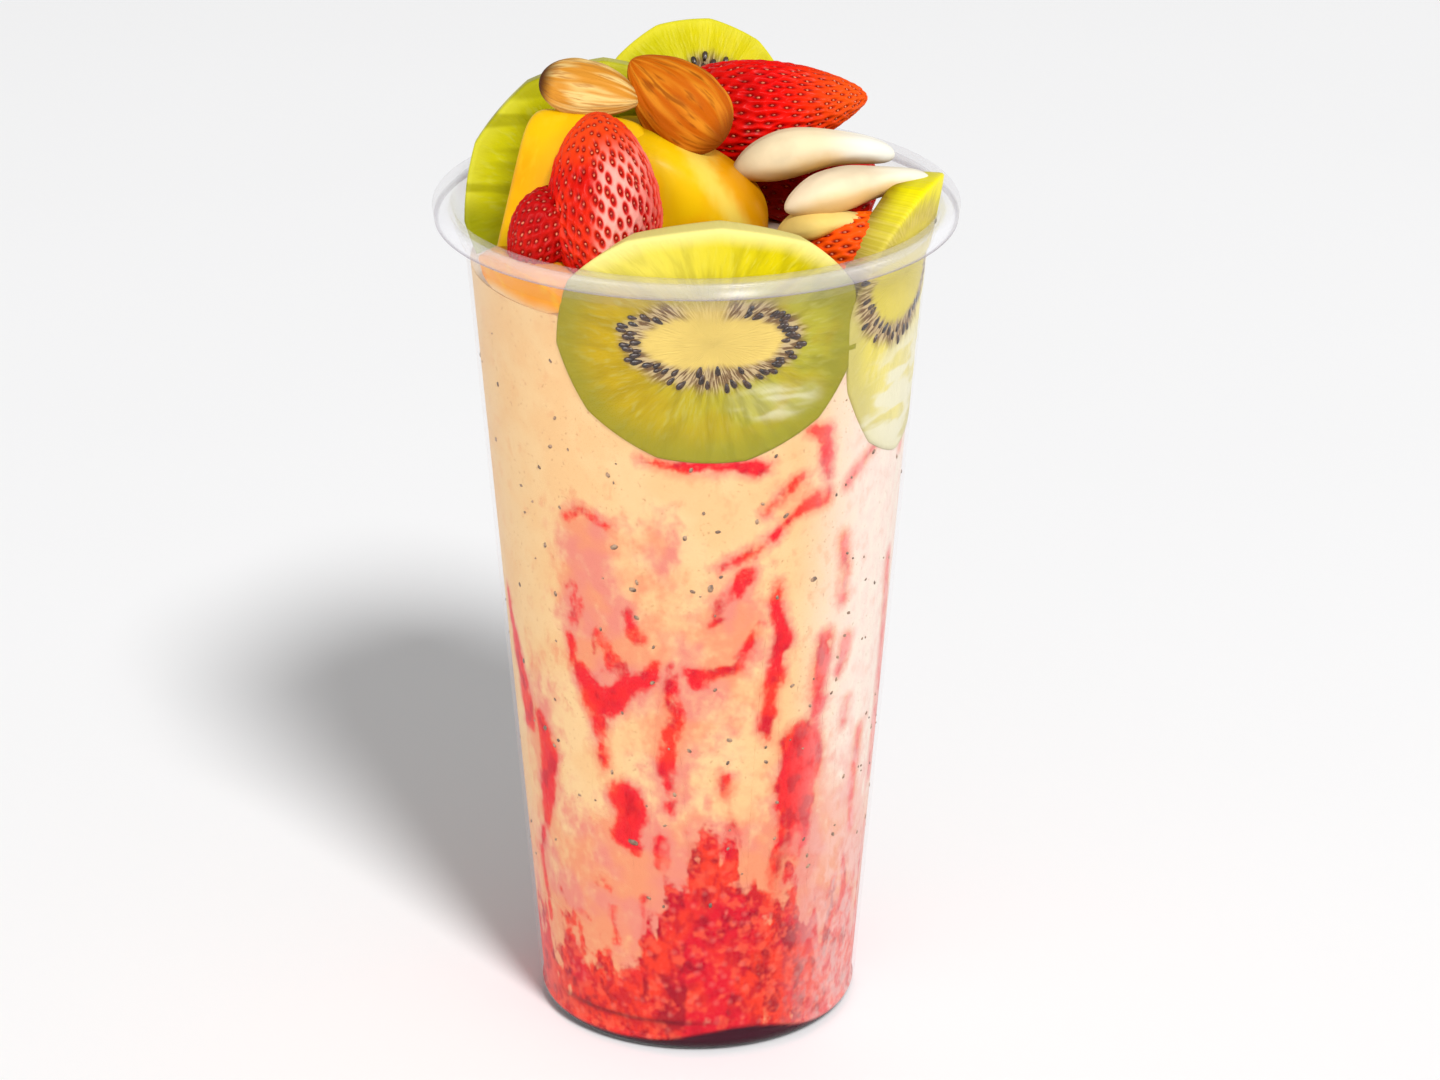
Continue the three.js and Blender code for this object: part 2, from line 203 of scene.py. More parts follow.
def twoTone(name, scale, first, second, spread, *finish):
    material = newMaterial(name, *finish)
    cloud = noiseOf(objectPlace(), scale)
    return finishMaterial(material, over(first, second, cloud, 0.5 - spread, 0.5 + spread))


# Meshes: each is one bmesh in millimetres, scaled and hung on the frame by finishPiece.


def nameOf(node):
    first, *rest = node.split("_")
    return first + "".join(word.capitalize() for word in rest)


def finishPiece(bm, node, slot, *materials, name=None):
    name = name or nameOf(node)
    bmesh.ops.remove_doubles(bm, verts=bm.verts, dist=0.002)
    bmesh.ops.dissolve_degenerate(bm, edges=bm.edges, dist=0.001)
    bmesh.ops.recalc_face_normals(bm, faces=bm.faces)
    bmesh.ops.scale(bm, vec=(mm, mm, mm), verts=bm.verts)
    mesh = bpy.data.meshes.new(name)
    bm.to_mesh(mesh)
    bm.free()
    for material in materials:
        mesh.materials.append(material)
    mesh.shade_smooth()
    if slot in ("puree", "smoothie"):  # no shading runs round the edge where the two meet
        mesh.set_sharp_from_angle(angle=math.radians(60))
    piece = bpy.data.objects.new(name, mesh)
    scene.collection.objects.link(piece)
    foodCollection.objects.link(piece)
    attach(piece, "root")
    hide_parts(node)
    print("made", name, len(mesh.polygons), "faces")


def addParts(bm, parts):
    # joins small parts to a piece, with the piece's second material
    for face in parts.faces:
        face.material_index = 1
    mesh = bpy.data.meshes.new("parts")
    parts.to_mesh(mesh)
    parts.free()
    bm.from_mesh(mesh)
    bpy.data.meshes.remove(mesh)


def ball(bm, detail):
    return bmesh.ops.create_icosphere(bm, subdivisions=detail, radius=1)["verts"]


def newLayers(bm, *names):
    return [bm.verts.layers.float.new(name) for name in names]


def spinProfile(bm, profile, steps):
    # turns a line of (radius, height) points about Z
    verts = [bm.verts.new((radius, 0, height)) for radius, height in profile]
    edges = [bm.edges.new(pair) for pair in zip(verts, verts[1:])]
    bmesh.ops.spin(
        bm,
        geom=verts + edges,
        cent=(0, 0, 0),
        axis=(0, 0, 1),
        angle=2 * math.pi,
        steps=steps,
        use_merge=True,
    )
    bmesh.ops.remove_doubles(bm, verts=bm.verts, dist=0.0005)


def arc(centreRadius, centreHeight, radius, start, stop, count):
    angles = [math.radians(start + (stop - start) * i / count) for i in range(count + 1)]
    return [(centreRadius + radius * math.cos(a), centreHeight + radius * math.sin(a)) for a in angles]


def between(first, last, count):
    # points from first up to, and without, last
    return [tuple(a + (b - a) * i / count for a, b in zip(first, last)) for i in range(count)]


def standAt(bm, place, turn):
    turned = Euler([math.radians(a) for a in turn], "ZYX").to_matrix().to_4x4()
    bmesh.ops.transform(bm, matrix=Matrix.Translation(place) @ turned, verts=bm.verts)


def smoothStep(value, low, high):
    share = min(1.0, max(0.0, (value - low) / (high - low)))
    return share * share * (3 - 2 * share)


def bell(value, middle, width):
    # 1 in the middle, falling away on both sides
    return math.exp(-(((value - middle) / width) ** 2))


# The cup

cup = {
    "height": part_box("cup")[1].z / mm,
    "rimRadius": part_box("cup")[1].x / mm,
    "rimWidth": 3,
    "rimDepth": 3.2,
    "bead": 0.9,  # radius of the rim's rolled edge
    "wall": 0.8,
    "footCorner": 3.4,
    "footRing": 25.5,
    "floorRecess": 1.1,
    "wallBase": 29.6,
    "shoulderRadius": 41.7,
    "shoulderHeight": 149.5,
    "steps": 192,
    "haze": (0.03, 0.09),  # how milky the shoulder is, and what the rim adds
    "edgeShade": 0.42,  # how dark the painted shade along the rolled edge's underside is
}
fruitReach = 0.2  # fruit lies this far in the wall, so that no gap shows


def outerRadius(height):
    return cup["wallBase"] + (cup["shoulderRadius"] - cup["wallBase"]) * height / cup["shoulderHeight"]


def innerRadius(height):
    return outerRadius(height) - cup["wall"]


def insideRadius(height):
    # of the cup's inner face, with the flare into the rim
    shoulder = cup["shoulderHeight"]
    throat = cup["height"] - 3.9
    rimInside = cup["rimRadius"] - cup["rimWidth"]
    if height <= shoulder:
        return innerRadius(height)
    if height <= throat:
        share = (height - shoulder) / (throat - shoulder)
        return innerRadius(shoulder) + (rimInside - 1.5 - innerRadius(shoulder)) * share
    return rimInside - 1.5 + 1.2 * (height - throat) / (cup["height"] - throat)


def cupProfile():
    height = cup["height"]
    rim = cup["rimRadius"]
    rimInside = rim - cup["rimWidth"]
    recess = cup["floorRecess"]
    wall = cup["wall"]
    corner = cup["footCorner"]
    bead = cup["bead"]
    ring = cup["footRing"]
    shoulder = cup["shoulderHeight"]
    under = height - cup["rimDepth"]
    return [
        (0, recess),
        (ring - 1.2, recess),
        (ring, 0),
        *arc(outerRadius(corner) - corner, corner, corner, -90, 0, 10),
        *between((outerRadius(8), 8), (cup["shoulderRadius"], shoulder), 8),
        (cup["shoulderRadius"], shoulder),
        (rimInside - 1.5, height - 6),
        (rimInside - 0.9, height - 4.4),
        (rimInside - 0.2, height - 1.6),
        (rimInside + 0.4, height - 0.9),
        (rim - 1.9, height - 0.9),
        (rim - 1.5, height - 1.3),
        (rim - 1.2, under),
        (rim - 0.85, under - 0.15),
        (rim - 0.35, under),
        (rim - 0.23, under + 0.8),
        *arc(rim - bead, height - bead, bead, 0, 90, 8),
        (rimInside - 0.1, height),
        (rimInside - 0.5, height - 0.35),
        (rimInside - 1.5, height - 3.9),
        (innerRadius(shoulder) + 0.5, shoulder + 1.5),
        (innerRadius(shoulder), shoulder),
        *between((innerRadius(140), 140), (innerRadius(recess + 4), recess + 4), 8),
        *arc(innerRadius(recess + 4) - 3.2, recess + wall + 3.2, 3.2, 0, -90, 8),
        (ring - 2, recess + wall),
        (0, recess + wall),
    ]


def clearPlastic():
    # light passes straight through; the rim is a little milky
    material = newMaterial("clearPlastic", 0)
    tree = material.node_tree
    tree.nodes.remove(tree.nodes["Principled BSDF"])
    frost = attribute("frost")
    shade = attribute("rimShade")  # painted shade: the rolled edge is darker along its underside
    clear = addNode("BsdfTransparent", {"Color": (0.995, 0.995, 1, 1)})
    milk = addNode("BsdfDiffuse", {"Color": (0.66, 0.65, 0.68, 1)})
    paintedRimShade = addNode("BsdfDiffuse", {"Color": (0.26, 0.22, 0.28, 1)})
    gloss = addNode("BsdfGlossy", {"Color": (1, 1, 1, 1), "Roughness": 0.22})
    facing = addNode("LayerWeight", {"Blend": 0.5}).outputs["Facing"]
    edge = sums("MULTIPLY_ADD", sums("POWER", facing, 4.0), 0.3, 0.012)
    hazy = addNode("MixShader", {0: frost, 1: clear.outputs[0], 2: milk.outputs[0]})
    hazy = addNode("MixShader", {0: shade, 1: hazy.outputs[0], 2: paintedRimShade.outputs[0]})
    glossy = addNode("MixShader", {0: edge, 1: hazy.outputs[0], 2: gloss.outputs[0]})
    tree.links.new(glossy.outputs[0], tree.nodes["Material Output"].inputs["Surface"])
    return material


def makeCup():
    bm = bmesh.new()
    spinProfile(bm, cupProfile(), cup["steps"])
    frost, rimShade = newLayers(bm, "frost", "rimShade")
    underside = cup["height"] - cup["rimDepth"]
    for vertex in bm.verts:
        height = vertex.co.z
        atEdge = math.hypot(vertex.co.x, vertex.co.y) > cup["rimRadius"] - cup["bead"]
        vertex[rimShade] = cup["edgeShade"] if atEdge and height < underside + 0.1 else 0
        rim = smoothStep(height, cup["height"] - 4.5, cup["height"] - 3)
        vertex[frost] = cup["haze"][0] * smoothStep(height, 148, 153) + cup["haze"][1] * rim
    finishPiece(bm, "cup", "clear_plastic", clearPlastic(), name="cupShell")


def keepInCup(bm, reach):
    # what would stand through the wall is pressed flat against it
    for vertex in bm.verts:
        if 3 < vertex.co.z < cup["height"]:
            most = insideRadius(vertex.co.z) + reach
            radius = math.hypot(vertex.co.x, vertex.co.y)
            if radius > most:
                vertex.co.x *= most / radius
                vertex.co.y *= most / radius


def aroundAxis(radius, angle):
    # angles count from the front towards the right
    return radius * math.sin(angle), -radius * math.cos(angle)


def onWall(azimuth, height, out=0.0):
    return Vector((*aroundAxis(insideRadius(height) + out, math.radians(azimuth)), height))


# The smoothie and the puree under it share their paint: red runs along the wall in strokes.

drink = {
    "level": 147,
    "mound": 4.6,
    "pureeLevel": 20,
    "pureeSwell": 8,
    "reach": 0.08,  # the smoothie's side lies this far in the wall, so that no gap shows
    "pureeReach": 0.11,
    "steps": 300,
    "wallRows": 150,
    "topRings": 26,
}

# Red strokes on the wall: (azimuth, height, half width) along each, and how strong it is.
# Azimuth counts from the front towards the right.
strokes = [
    (1.0, [(-15, 122, 0.3), (-6, 121, 0.9), (1, 121, 1.2), (8, 121, 0.7), (17, 120, 1.4), (19, 120, 0.8)]),
    (1.0, [(31, 126, 0.5), (36, 125, 1.1), (37, 122, 1.7), (37, 119, 1.0), (38, 116, 0.4)]),
    (0.4, [(29, 117, 0.7), (24, 114, 1.1), (19, 111, 0.5)]),
    (0.8, [(37, 112, 1.7), (31, 111, 1.1), (26, 109, 0.5), (21, 106, 0.9), (18, 104, 0.9), (8, 101, 0.8)]),
    (0.6, [(59, 126, 0.8), (58, 119, 0.8), (52, 117, 0.6), (48, 115, 0.8), (45, 113, 0.5)]),
    (0.6, [(76, 120, 0.7), (75, 114, 0.8)]),
    (0.3, [(-38, 108, 0.8), (-33, 110, 0.7), (-25, 108, 0.8)]),
    (0.3, [(-38, 94, 1.3), (-36, 91, 1.2), (-38, 87, 0.9)]),
    (0.7, [(14, 99, 1.8), (11, 96, 1.4), (7, 94, 1.6), (5, 90, 1.1)]),
    (1.0, [(24, 97, 0.4), (23, 93, 1.2), (26, 85, 1.5), (24, 79, 1.8), (22, 73, 1.6), (21, 66, 1.2)]),
    (0.8, [(18, 89, 1.1), (16, 84, 1.4), (12, 81, 1.4), (7, 80, 0.7)]),
    (0.9, [(-20, 91, 0.8), (-18, 87, 1.7), (-16, 86, 1.1)]),
    (1.5, [(-40, 84, 0.8), (-39, 79, 1.2), (-35, 76, 2.0), (-31, 72, 3.3), (-27, 72, 2.8), (-23, 75, 2.2)]),
    (1.4, [(-23, 75, 2.0), (-15, 78, 2.0), (-12, 81, 0.9)]),
    (0.3, [(-29, 85, 1.6), (-27, 81, 2.6), (-24, 79, 2.4)]),
    (1.5, [(-4, 81, 1.2), (0, 79, 2.5), (5, 80, 1.3), (11, 81, 0.9)]),
    (0.8, [(-7, 81, 0.9), (-7, 76, 1.3), (-6, 70, 1.7), (-9, 65, 1.8), (-9, 60, 1.5), (-8, 51, 0.7)]),
    (0.9, [(-31, 69, 1.8), (-31, 64, 1.2), (-30, 59, 0.8)]),
    (1.3, [(-75, 85, 0.9), (-72, 76, 1.6), (-68, 69, 2.2), (-65, 62, 2.6)]),
    (1.3, [(-58, 64, 1.6), (-54, 58, 2.6), (-57, 49, 2.5), (-59, 42, 1.2)]),
    (1.0, [(-60, 42, 0.9), (-66, 34, 0.9), (-65, 28, 0.9), (-63, 20, 0.9)]),
    (0.7, [(45, 103, 0.7), (47, 96, 1.1), (47, 90, 0.9)]),
    (1.0, [(41, 83, 1.6), (40, 77, 1.8), (40, 71, 1.6), (39, 68, 1.1)]),
    (0.8, [(50, 81, 1.2), (49, 77, 1.1), (47, 75, 0.7)]),
    (0.7, [(53, 68, 0.7), (52, 64, 0.7)]),
    (1.9, [(34, 63, 4.4), (35, 59, 4.9), (33, 54, 4.6), (34, 48, 4.1), (32, 43, 3.6), (29, 37, 3.0),
        (26, 32, 1.6)]),
    (0.7, [(9, 58, 1.1), (9, 55, 0.7)]),
    (1.5, [(-23, 53, 3.2), (-21, 50, 3.2), (-24, 45, 2.7), (-21, 43, 1.8)]),
    (1.3, [(-11, 45, 1.4), (-11, 40, 1.5)]),
    (1.3, [(0, 44, 1.6), (-1, 37, 1.7)]),
    (1.3, [(11, 48, 1.4), (11, 42, 1.5)]),
    (0.8, [(-34, 34, 1.4), (-31, 33, 1.2)]),
    (0.7, [(-45, 26, 1.1), (-41, 25, 0.9)]),
    (0.8, [(-30, 29, 0.7), (-29, 22, 0.7)]),
    (0.9, [(-18, 32, 0.9), (-18, 24, 0.9)]),
    (0.7, [(74, 92, 1.4), (78, 76, 2.2), (80, 62, 3.0), (79, 48, 2.2)]),
    (0.9, [(62, 60, 1.2), (60, 50, 1.4), (62, 40, 1.0)]),
    (1.1, [(112, 98, 0.8), (118, 84, 3.0), (117, 70, 3.4), (120, 56, 3.8), (116, 42, 2.4)]),
    (0.6, [(100, 116, 0.8), (104, 108, 1.8), (98, 100, 1.2)]),
    (1.2, [(158, 76, 1.0), (160, 62, 3.2), (162, 50, 4.0), (158, 38, 3.0)]),
    (0.8, [(140, 104, 2.4), (146, 98, 1.8), (142, 88, 1.0)]),
    (1.1, [(-152, 92, 0.6), (-150, 80, 2.4), (-148, 66, 3.0), (-151, 54, 2.2), (-150, 40, 1.4)]),
    (0.5, [(-128, 96, 3.2), (-122, 90, 2.6), (-126, 82, 1.6)]),
    (1.1, [(-104, 72, 1.0), (-104, 62, 3.0), (-102, 50, 3.6), (-105, 38, 2.4)]),
    (0.9, [(178, 92, 0.8), (-178, 84, 1.8), (-176, 74, 1.6), (179, 64, 0.8)]),
    (0.8, [(-90, 96, 0.7), (-92, 86, 1.4), (-88, 76, 1.0)]),
]

# Where the smoothie has taken up colour: azimuth, height, half width, half height, strength.
blushes = [
    (-31, 104, 8, 8, 1.0),
    (-29, 92, 9, 7, 0.75),
    (-27, 80, 9, 8, 1.0),
    (-36, 92, 5, 9, 0.5),
    (-9, 104, 4, 9, 0.8),
    (12, 88, 6, 7, 0.7),
    (12, 96, 7, 8, 0.6),
    (26, 113, 8, 6, 0.5),
    (-2, 84, 16, 9, 0.35),
    (-8, 66, 7, 18, 0.7),
    (7, 74, 9, 10, 0.5),
    (-24, 44, 11, 8, 0.6),
    (30, 42, 9, 16, 0.55),
    (55, 44, 16, 22, 0.5),
    (0, 32, 34, 16, 0.9),
    (45, 27, 22, 14, 0.7),
    (-58, 62, 7, 16, 0.7),
    (-40, 22, 18, 9, 0.6),
    (117, 62, 12, 30, 0.7),
    (160, 50, 14, 26, 0.8),
    (-150, 62, 12, 26, 0.7),
    (-104, 52, 12, 22, 0.7),
    (180, 30, 60, 14, 0.8),
]


def aroundWall(azimuth, other):
    # degrees between two places, the short way round
    return (azimuth - other + 180) % 360 - 180


strokeLegs = [
    (strength, first, last)
    for strength, points in strokes
    for first, last in zip(points, points[1:])
]


def strokeField(azimuth, height):
    # how deep, in mm, a place on the wall lies in a red stroke; below 0 outside
    best = -6.0
    spread = math.radians(1) * innerRadius(height)
    for strength, (a1, z1, w1), (a2, z2, w2) in strokeLegs:
        y1, y2 = z1 - height, z2 - height
        if min(y1, y2) > 9 or max(y1, y2) < -9:
            continue
        x1 = aroundWall(a1, azimuth) * spread
        if abs(x1) > 20:
            continue
        x2 = aroundWall(a2, azimuth) * spread
        along = (x2 - x1) ** 2 + (y2 - y1) ** 2
        share = min(1.0, max(0.0, -(x1 * (x2 - x1) + y1 * (y2 - y1)) / max(along, 1e-6)))
        near = math.hypot(x1 + share * (x2 - x1), y1 + share * (y2 - y1))
        depth = (w1 + share * (w2 - w1)) - near
        depth = min(depth * 1.2, strength * 1.7 if strength >= 1 else 0.9 * strength)
        best = max(best, depth)
    return best


def blushField(azimuth, height):
    spread = math.radians(1) * innerRadius(height)
    left = 1.0
    for a, z, width, tall, strength in blushes:
        x, y = aroundWall(azimuth, a) * spread / width, (height - z) / tall
        left *= 1 - strength * math.exp(-(x * x + y * y))
    return 1 - left


def massField(azimuth, height):
    # the puree at the bottom: its upper edge climbs at the front and ends in strands
    a = math.radians(azimuth)
    edge = 21 + 20 * bell(azimuth, 4, 22) + 6 * bell(azimuth, 50, 30)
    edge -= 9 * bell(azimuth, -27, 9)
    strands = noise.noise(Vector((4 * math.sin(a), 4 * math.cos(a), height * 0.05)))
    strands += 1.1 * noise.noise(Vector((10 * math.sin(a), 10 * math.cos(a), height * 0.04)))
    return min(1.7, (edge + 8 * strands - height) * 0.2)


def pureeTop(x, y):
    away = min(1.0, math.hypot(x, y) / 30)
    azimuth = math.atan2(x, -y)
    swell = drink["pureeSwell"] * math.cos(azimuth - 0.15) + 3 * math.sin(4 * azimuth)
    return drink["pureeLevel"] + away * swell


def pureeEdge(azimuth):
    # the puree's level near the wall
    return pureeTop(*aroundAxis(28, azimuth))


def drinkTop(x, y):
    share = min(1.0, math.hypot(x, y) / innerRadius(drink["level"]))
    ripple = 0.5 * noise.noise(Vector((x, y, 0)) * 0.09) + 0.16 * noise.noise(Vector((x, y, 7)) * 0.4)
    return drink["level"] + drink["mound"] * (1 - share**4) + ripple * (1 - share**8)


def paintDrink(bm):
    red, blush, pale, mass, dark = newLayers(bm, "red", "blush", "pale", "mass", "dark")
    for vertex in bm.verts:
        x, y, height = vertex.co
        azimuth = math.degrees(math.atan2(x, -y))
        atWall = math.hypot(x, y) > insideRadius(max(3, height)) - 1.5
        vertex[red] = strokeField(azimuth, height) if atWall else -4
        # away from the wall the puree is red all through, and the smoothie's level is peach
        vertex[mass] = massField(azimuth, height) if atWall else (1.2 if height < 60 else -5)
        vertex[blush] = blushField(azimuth, height) if atWall else 0.1
        # painted light: at the wall the right side is paler; away from the wall the level is paler all over
        vertex[pale] = smoothStep(azimuth, 26, 58) * (1 - smoothStep(azimuth, 95, 120)) if atWall else 0.6
        # painted shade: a dark crescent round the foot, deepest at the front right, and a thin dark line
        # low on the left wall
        shade = 1.4 + 3.5 * bell(azimuth, 17, 25) + 0.6 * bell(azimuth, -30, 40)
        ring = 0.6 * bell(height, 6.3, 0.5) * (1 - smoothStep(azimuth, -5, 15))
        foot = 1 - smoothStep(height, shade - 0.5, shade + 0.4)
        vertex[dark] = max(ring * smoothStep(azimuth, -70, -45), foot)


def drinkPaint():
    material = newMaterial("drinkPaint", 0.5, 0.08)
    place = objectPlace()
    blots = noiseOf(objectPlace((1, 1, 0.75)), 360, 3, 0.6)
    beads = noiseOf(objectPlace((1, 1, 0.7)), 290, 2, 0.55)
    dust = noiseOf(place, 1500, 1, 0.5)
    grain = noiseOf(place, 1150, 2, 0.6)
    broad = noiseOf(place, 110, 2)
    breaks = noiseOf(place, 210, 1)
    crumbs = noiseOf(place, 430, 2, 0.55)
    climbing = noiseOf(objectPlace((1, 1, 0.25)), 300, 1)
    dots = addNode("TexVoronoi", {"Vector": place, "Scale": 430.0}).outputs["Distance"]
    peach = over(tint(249, 201, 142, "drink"), tint(251, 209, 152, "drink"), broad, 0.35, 0.65)
    # painted light: paler towards the right side of the wall, and on the level
    peach = blendOf(attribute("pale"), peach, tint(255, 243, 224, "drink"))
    peach = over(peach, tint(244, 182, 126, "drink"), blots, 0.54, 0.7, 0.45)
    peach = over(peach, tint(196, 140, 92, "drink"), dust, 0.66, 0.76, 0.5)
    blush = ruffled(attribute("blush"), blots, 1.0)
    blush = ruffled(blush, crumbs, 0.5)
    salmon = over(tint(245, 154, 112, "drink"), tint(240, 142, 122, "drink"), broad, 0.4, 0.6)
    colour = over(peach, salmon, blush, 0.15, 0.85)
    wobble = ruffled(0.0, blots, 3.4)
    wobble = ruffled(wobble, grain, 1.2)
    wobble = sums("SUBTRACT", wobble, smooth(breaks, 0.52, 0.68, 0, 0.8))
    field = sums("ADD", attribute("red"), wobble)
    colour = over(colour, salmon, field, -2.8, 0.0, 0.85)
    fresh = over(tint(250, 54, 36, "drink"), tint(243, 30, 44, "drink"), broad, 0.42, 0.58)
    fresh = over(fresh, tint(214, 18, 42, "drink"), beads, 0.5, 0.66, 0.9)
    fresh = over(fresh, tint(252, 124, 104, "drink"), grain, 0.56, 0.7, 0.28)
    colour = over(colour, fresh, field, -0.8, 0.8)
    deep = over(tint(248, 28, 36, "drink"), tint(208, 6, 30, "drink"), beads, 0.46, 0.6)
    colour = over(colour, deep, field, 1.3, 2.6, 0.9)
    # the puree is red pulp with dark and pale crumbs in it
    pulp = over(tint(246, 60, 38, "drink"), tint(230, 22, 44, "drink"), broad, 0.42, 0.6)
    pulp = over(pulp, tint(196, 8, 38, "drink"), blots, 0.47, 0.62, 0.7)
    pulp = over(pulp, tint(160, 6, 36, "drink"), beads, 0.5, 0.66, 0.8)
    pulp = over(pulp, tint(250, 90, 64, "drink"), crumbs, 0.5, 0.68, 0.8)
    pulp = over(pulp, tint(255, 164, 146, "drink"), dots, 0.4, 0.1, 0.17)
    ragged = ruffled(attribute("mass"), crumbs, 3.0)
    ragged = ruffled(ragged, blots, 3.0)
    ragged = ruffled(ragged, climbing, 6.0)
    colour = over(colour, salmon, ragged, -2.6, -0.2, 0.8)
    colour = over(colour, pulp, ragged, -0.5, 0.5)
    # painted glare: a pinkish white haze over the paler places
    paintedGlare = sums("MULTIPLY", attribute("pale"), smooth(blots, 0.35, 0.62, 0.2, 0.62))
    colour = blendOf(paintedGlare, colour, tint(255, 220, 210, "drink"))
    # painted shade at the foot and low on the left, from the dark attribute
    colour = blendOf(attribute("dark"), colour, tint(58, 4, 26, "drink"))
    return finishMaterial(material, colour, grain, 0.0002, 0.4)


# Dark seeds that went into the blender and show at the wall.
specks = {
    "placed": [  # azimuth, height, half length
        (-71, 116, 0.8), (-42, 121, 0.7), (-47, 116, 0.6), (-23, 104, 1.0), (-18, 96, 0.9), (4, 97, 1.0),
        (35, 96, 0.9), (25, 110, 0.8), (-3, 107, 0.7), (-21, 44, 1.3), (-55, 62, 0.8), (10, 66, 0.7),
    ],
    "random": 230,
    "low": 30,
    "high": 138,
    "seed": 11,
}


def addSpecks(bm):
    rng = random.Random(specks["seed"])
    parts = bmesh.new()
    scattered = [
        (rng.uniform(-180, 180), rng.uniform(specks["low"], specks["high"]), rng.uniform(0.25, 0.72))
        for _ in range(specks["random"])
    ]
    for azimuth, height, size in specks["placed"] + scattered:
        made = ball(parts, 1)
        turn = Matrix.Rotation(math.radians(azimuth), 3, "Z") @ Matrix.Rotation(rng.uniform(0, 3), 3, "Y")
        bmesh.ops.scale(parts, vec=(size, 0.35, size * rng.uniform(0.55, 0.8)), verts=made)
        bmesh.ops.rotate(parts, matrix=turn, verts=made, cent=(0, 0, 0))
        bmesh.ops.translate(parts, vec=onWall(azimuth, height, drink["reach"] - 0.12), verts=made)
    addParts(bm, parts)


def makeSmoothie(paint, speck):
    rows, rings = drink["wallRows"], drink["topRings"]
    lap = 1.5  # the smoothie reaches this far into the puree
    bm = bmesh.new()
    # heights are shares of the wall until the piece is shaped: 0 at its lower edge, 1 at its level
    profile = [(0.0, -1.0), (0.5, -1.0), (1.0, -1.0)]
    profile += [(1.0, i / rows) for i in range(rows + 1)]
    profile += [(1 - (i + 1) / rings, 2.0) for i in range(rings)]
    spinProfile(bm, profile, drink["steps"])
    for vertex in bm.verts:
        x, y, part = vertex.co
        share = math.hypot(x, y)
        azimuth = math.atan2(x, -y)
        low = pureeEdge(azimuth) - lap
        if part > 1.5:
            x, y = aroundAxis((insideRadius(drink["level"]) + drink["reach"]) * share, azimuth)
            vertex.co = (x, y, drinkTop(x, y))
        elif part < -0.5:
            x, y = aroundAxis(30 * share, azimuth)
            vertex.co = (x, y, pureeTop(x, y) - lap)
        else:
            vertex.co = onWall(math.degrees(azimuth), low + (drink["level"] - low) * part, drink["reach"])
    bmesh.ops.remove_doubles(bm, verts=bm.verts, dist=0.002)
    addSpecks(bm)
    paintDrink(bm)
    finishPiece(bm, "smoothie", "smoothie", paint, speck)


# Tongues of puree that have run up the wall: azimuth, upper end, half width.
tongues = [
    (-64, 88, 3.4),
    (-29, 76, 4.4),
    (-9, 80, 3.6),
    (11, 49, 4.2),
    (22, 94, 2.8),
    (33, 70, 5.4),
    (45, 85, 2.8),
    (80, 60, 4),
    (118, 84, 4.4),
    (160, 58, 5),
    (-150, 79, 3.8),
    (-104, 64, 4.4),
]


def addTongue(bm, azimuth, high, halfWidth):
    # a long drop, flattened against the wall
    made = bmesh.ops.create_uvsphere(bm, u_segments=24, v_segments=60, radius=1)["verts"]
    low = 6
    for vertex in made:
        x, y, z = vertex.co
        height = (low + high) / 2 + z * (high - low) / 2
        width = halfWidth * (1 - 0.35 * z)
        out = drink["pureeReach"] + min(0.0, 0.6 - 1.9 * abs(y)) if y < 0 else -1.4 * y
        out = max(-1.5, min(drink["pureeReach"], out))
        turn = math.degrees(x * width / innerRadius(height))
        vertex.co = onWall(azimuth + turn, height, out)


def makePuree(paint, speck):
    bm = bmesh.new()
    rows = 40
    sunk = 0.3  # of the cup's wall is left outside the puree at the foot
    floor = cup["floorRecess"] + sunk
    corner = cup["footCorner"]
    profile = [(0, floor), (12, floor), (cup["footRing"] - 1.2, floor), (cup["footRing"], sunk)]
    profile += arc(outerRadius(corner) - corner, corner, corner - sunk, -90, -12, 10)
    profile += [(innerRadius(z) + 0.1, z) for z in (3.2, 3.6, 4, 4.5, 5)]
    lowest = 5
    profile += [(innerRadius(lowest), lowest + i / rows) for i in range(rows + 1)]
    profile += [(20, 100), (10, 100), (0, 100)]
    spinProfile(bm, profile, drink["steps"])
    for vertex in bm.verts:
        x, y, height = vertex.co
        azimuth = math.atan2(x, -y)
        if height > 50:
            vertex.co.z = pureeTop(x, y)
        elif height >= lowest - 0.001:
            up = lowest + (pureeEdge(azimuth) - lowest) * (height - lowest)
            vertex.co = onWall(math.degrees(azimuth), up, drink["pureeReach"])
    for tongue in tongues:
        addTongue(bm, *tongue)
    paintDrink(bm)
    finishPiece(bm, "strawberry_puree", "puree", paint, speck)


# Kiwi slices

kiwi = {
    "facets": 11,  # flats that the peeling knife left round a slice
    "steps": 154,
    "rings": 34,
    "seedLength": 2.3,
    "seedWidth": 1.05,
    "wallReach": 0.45,
}
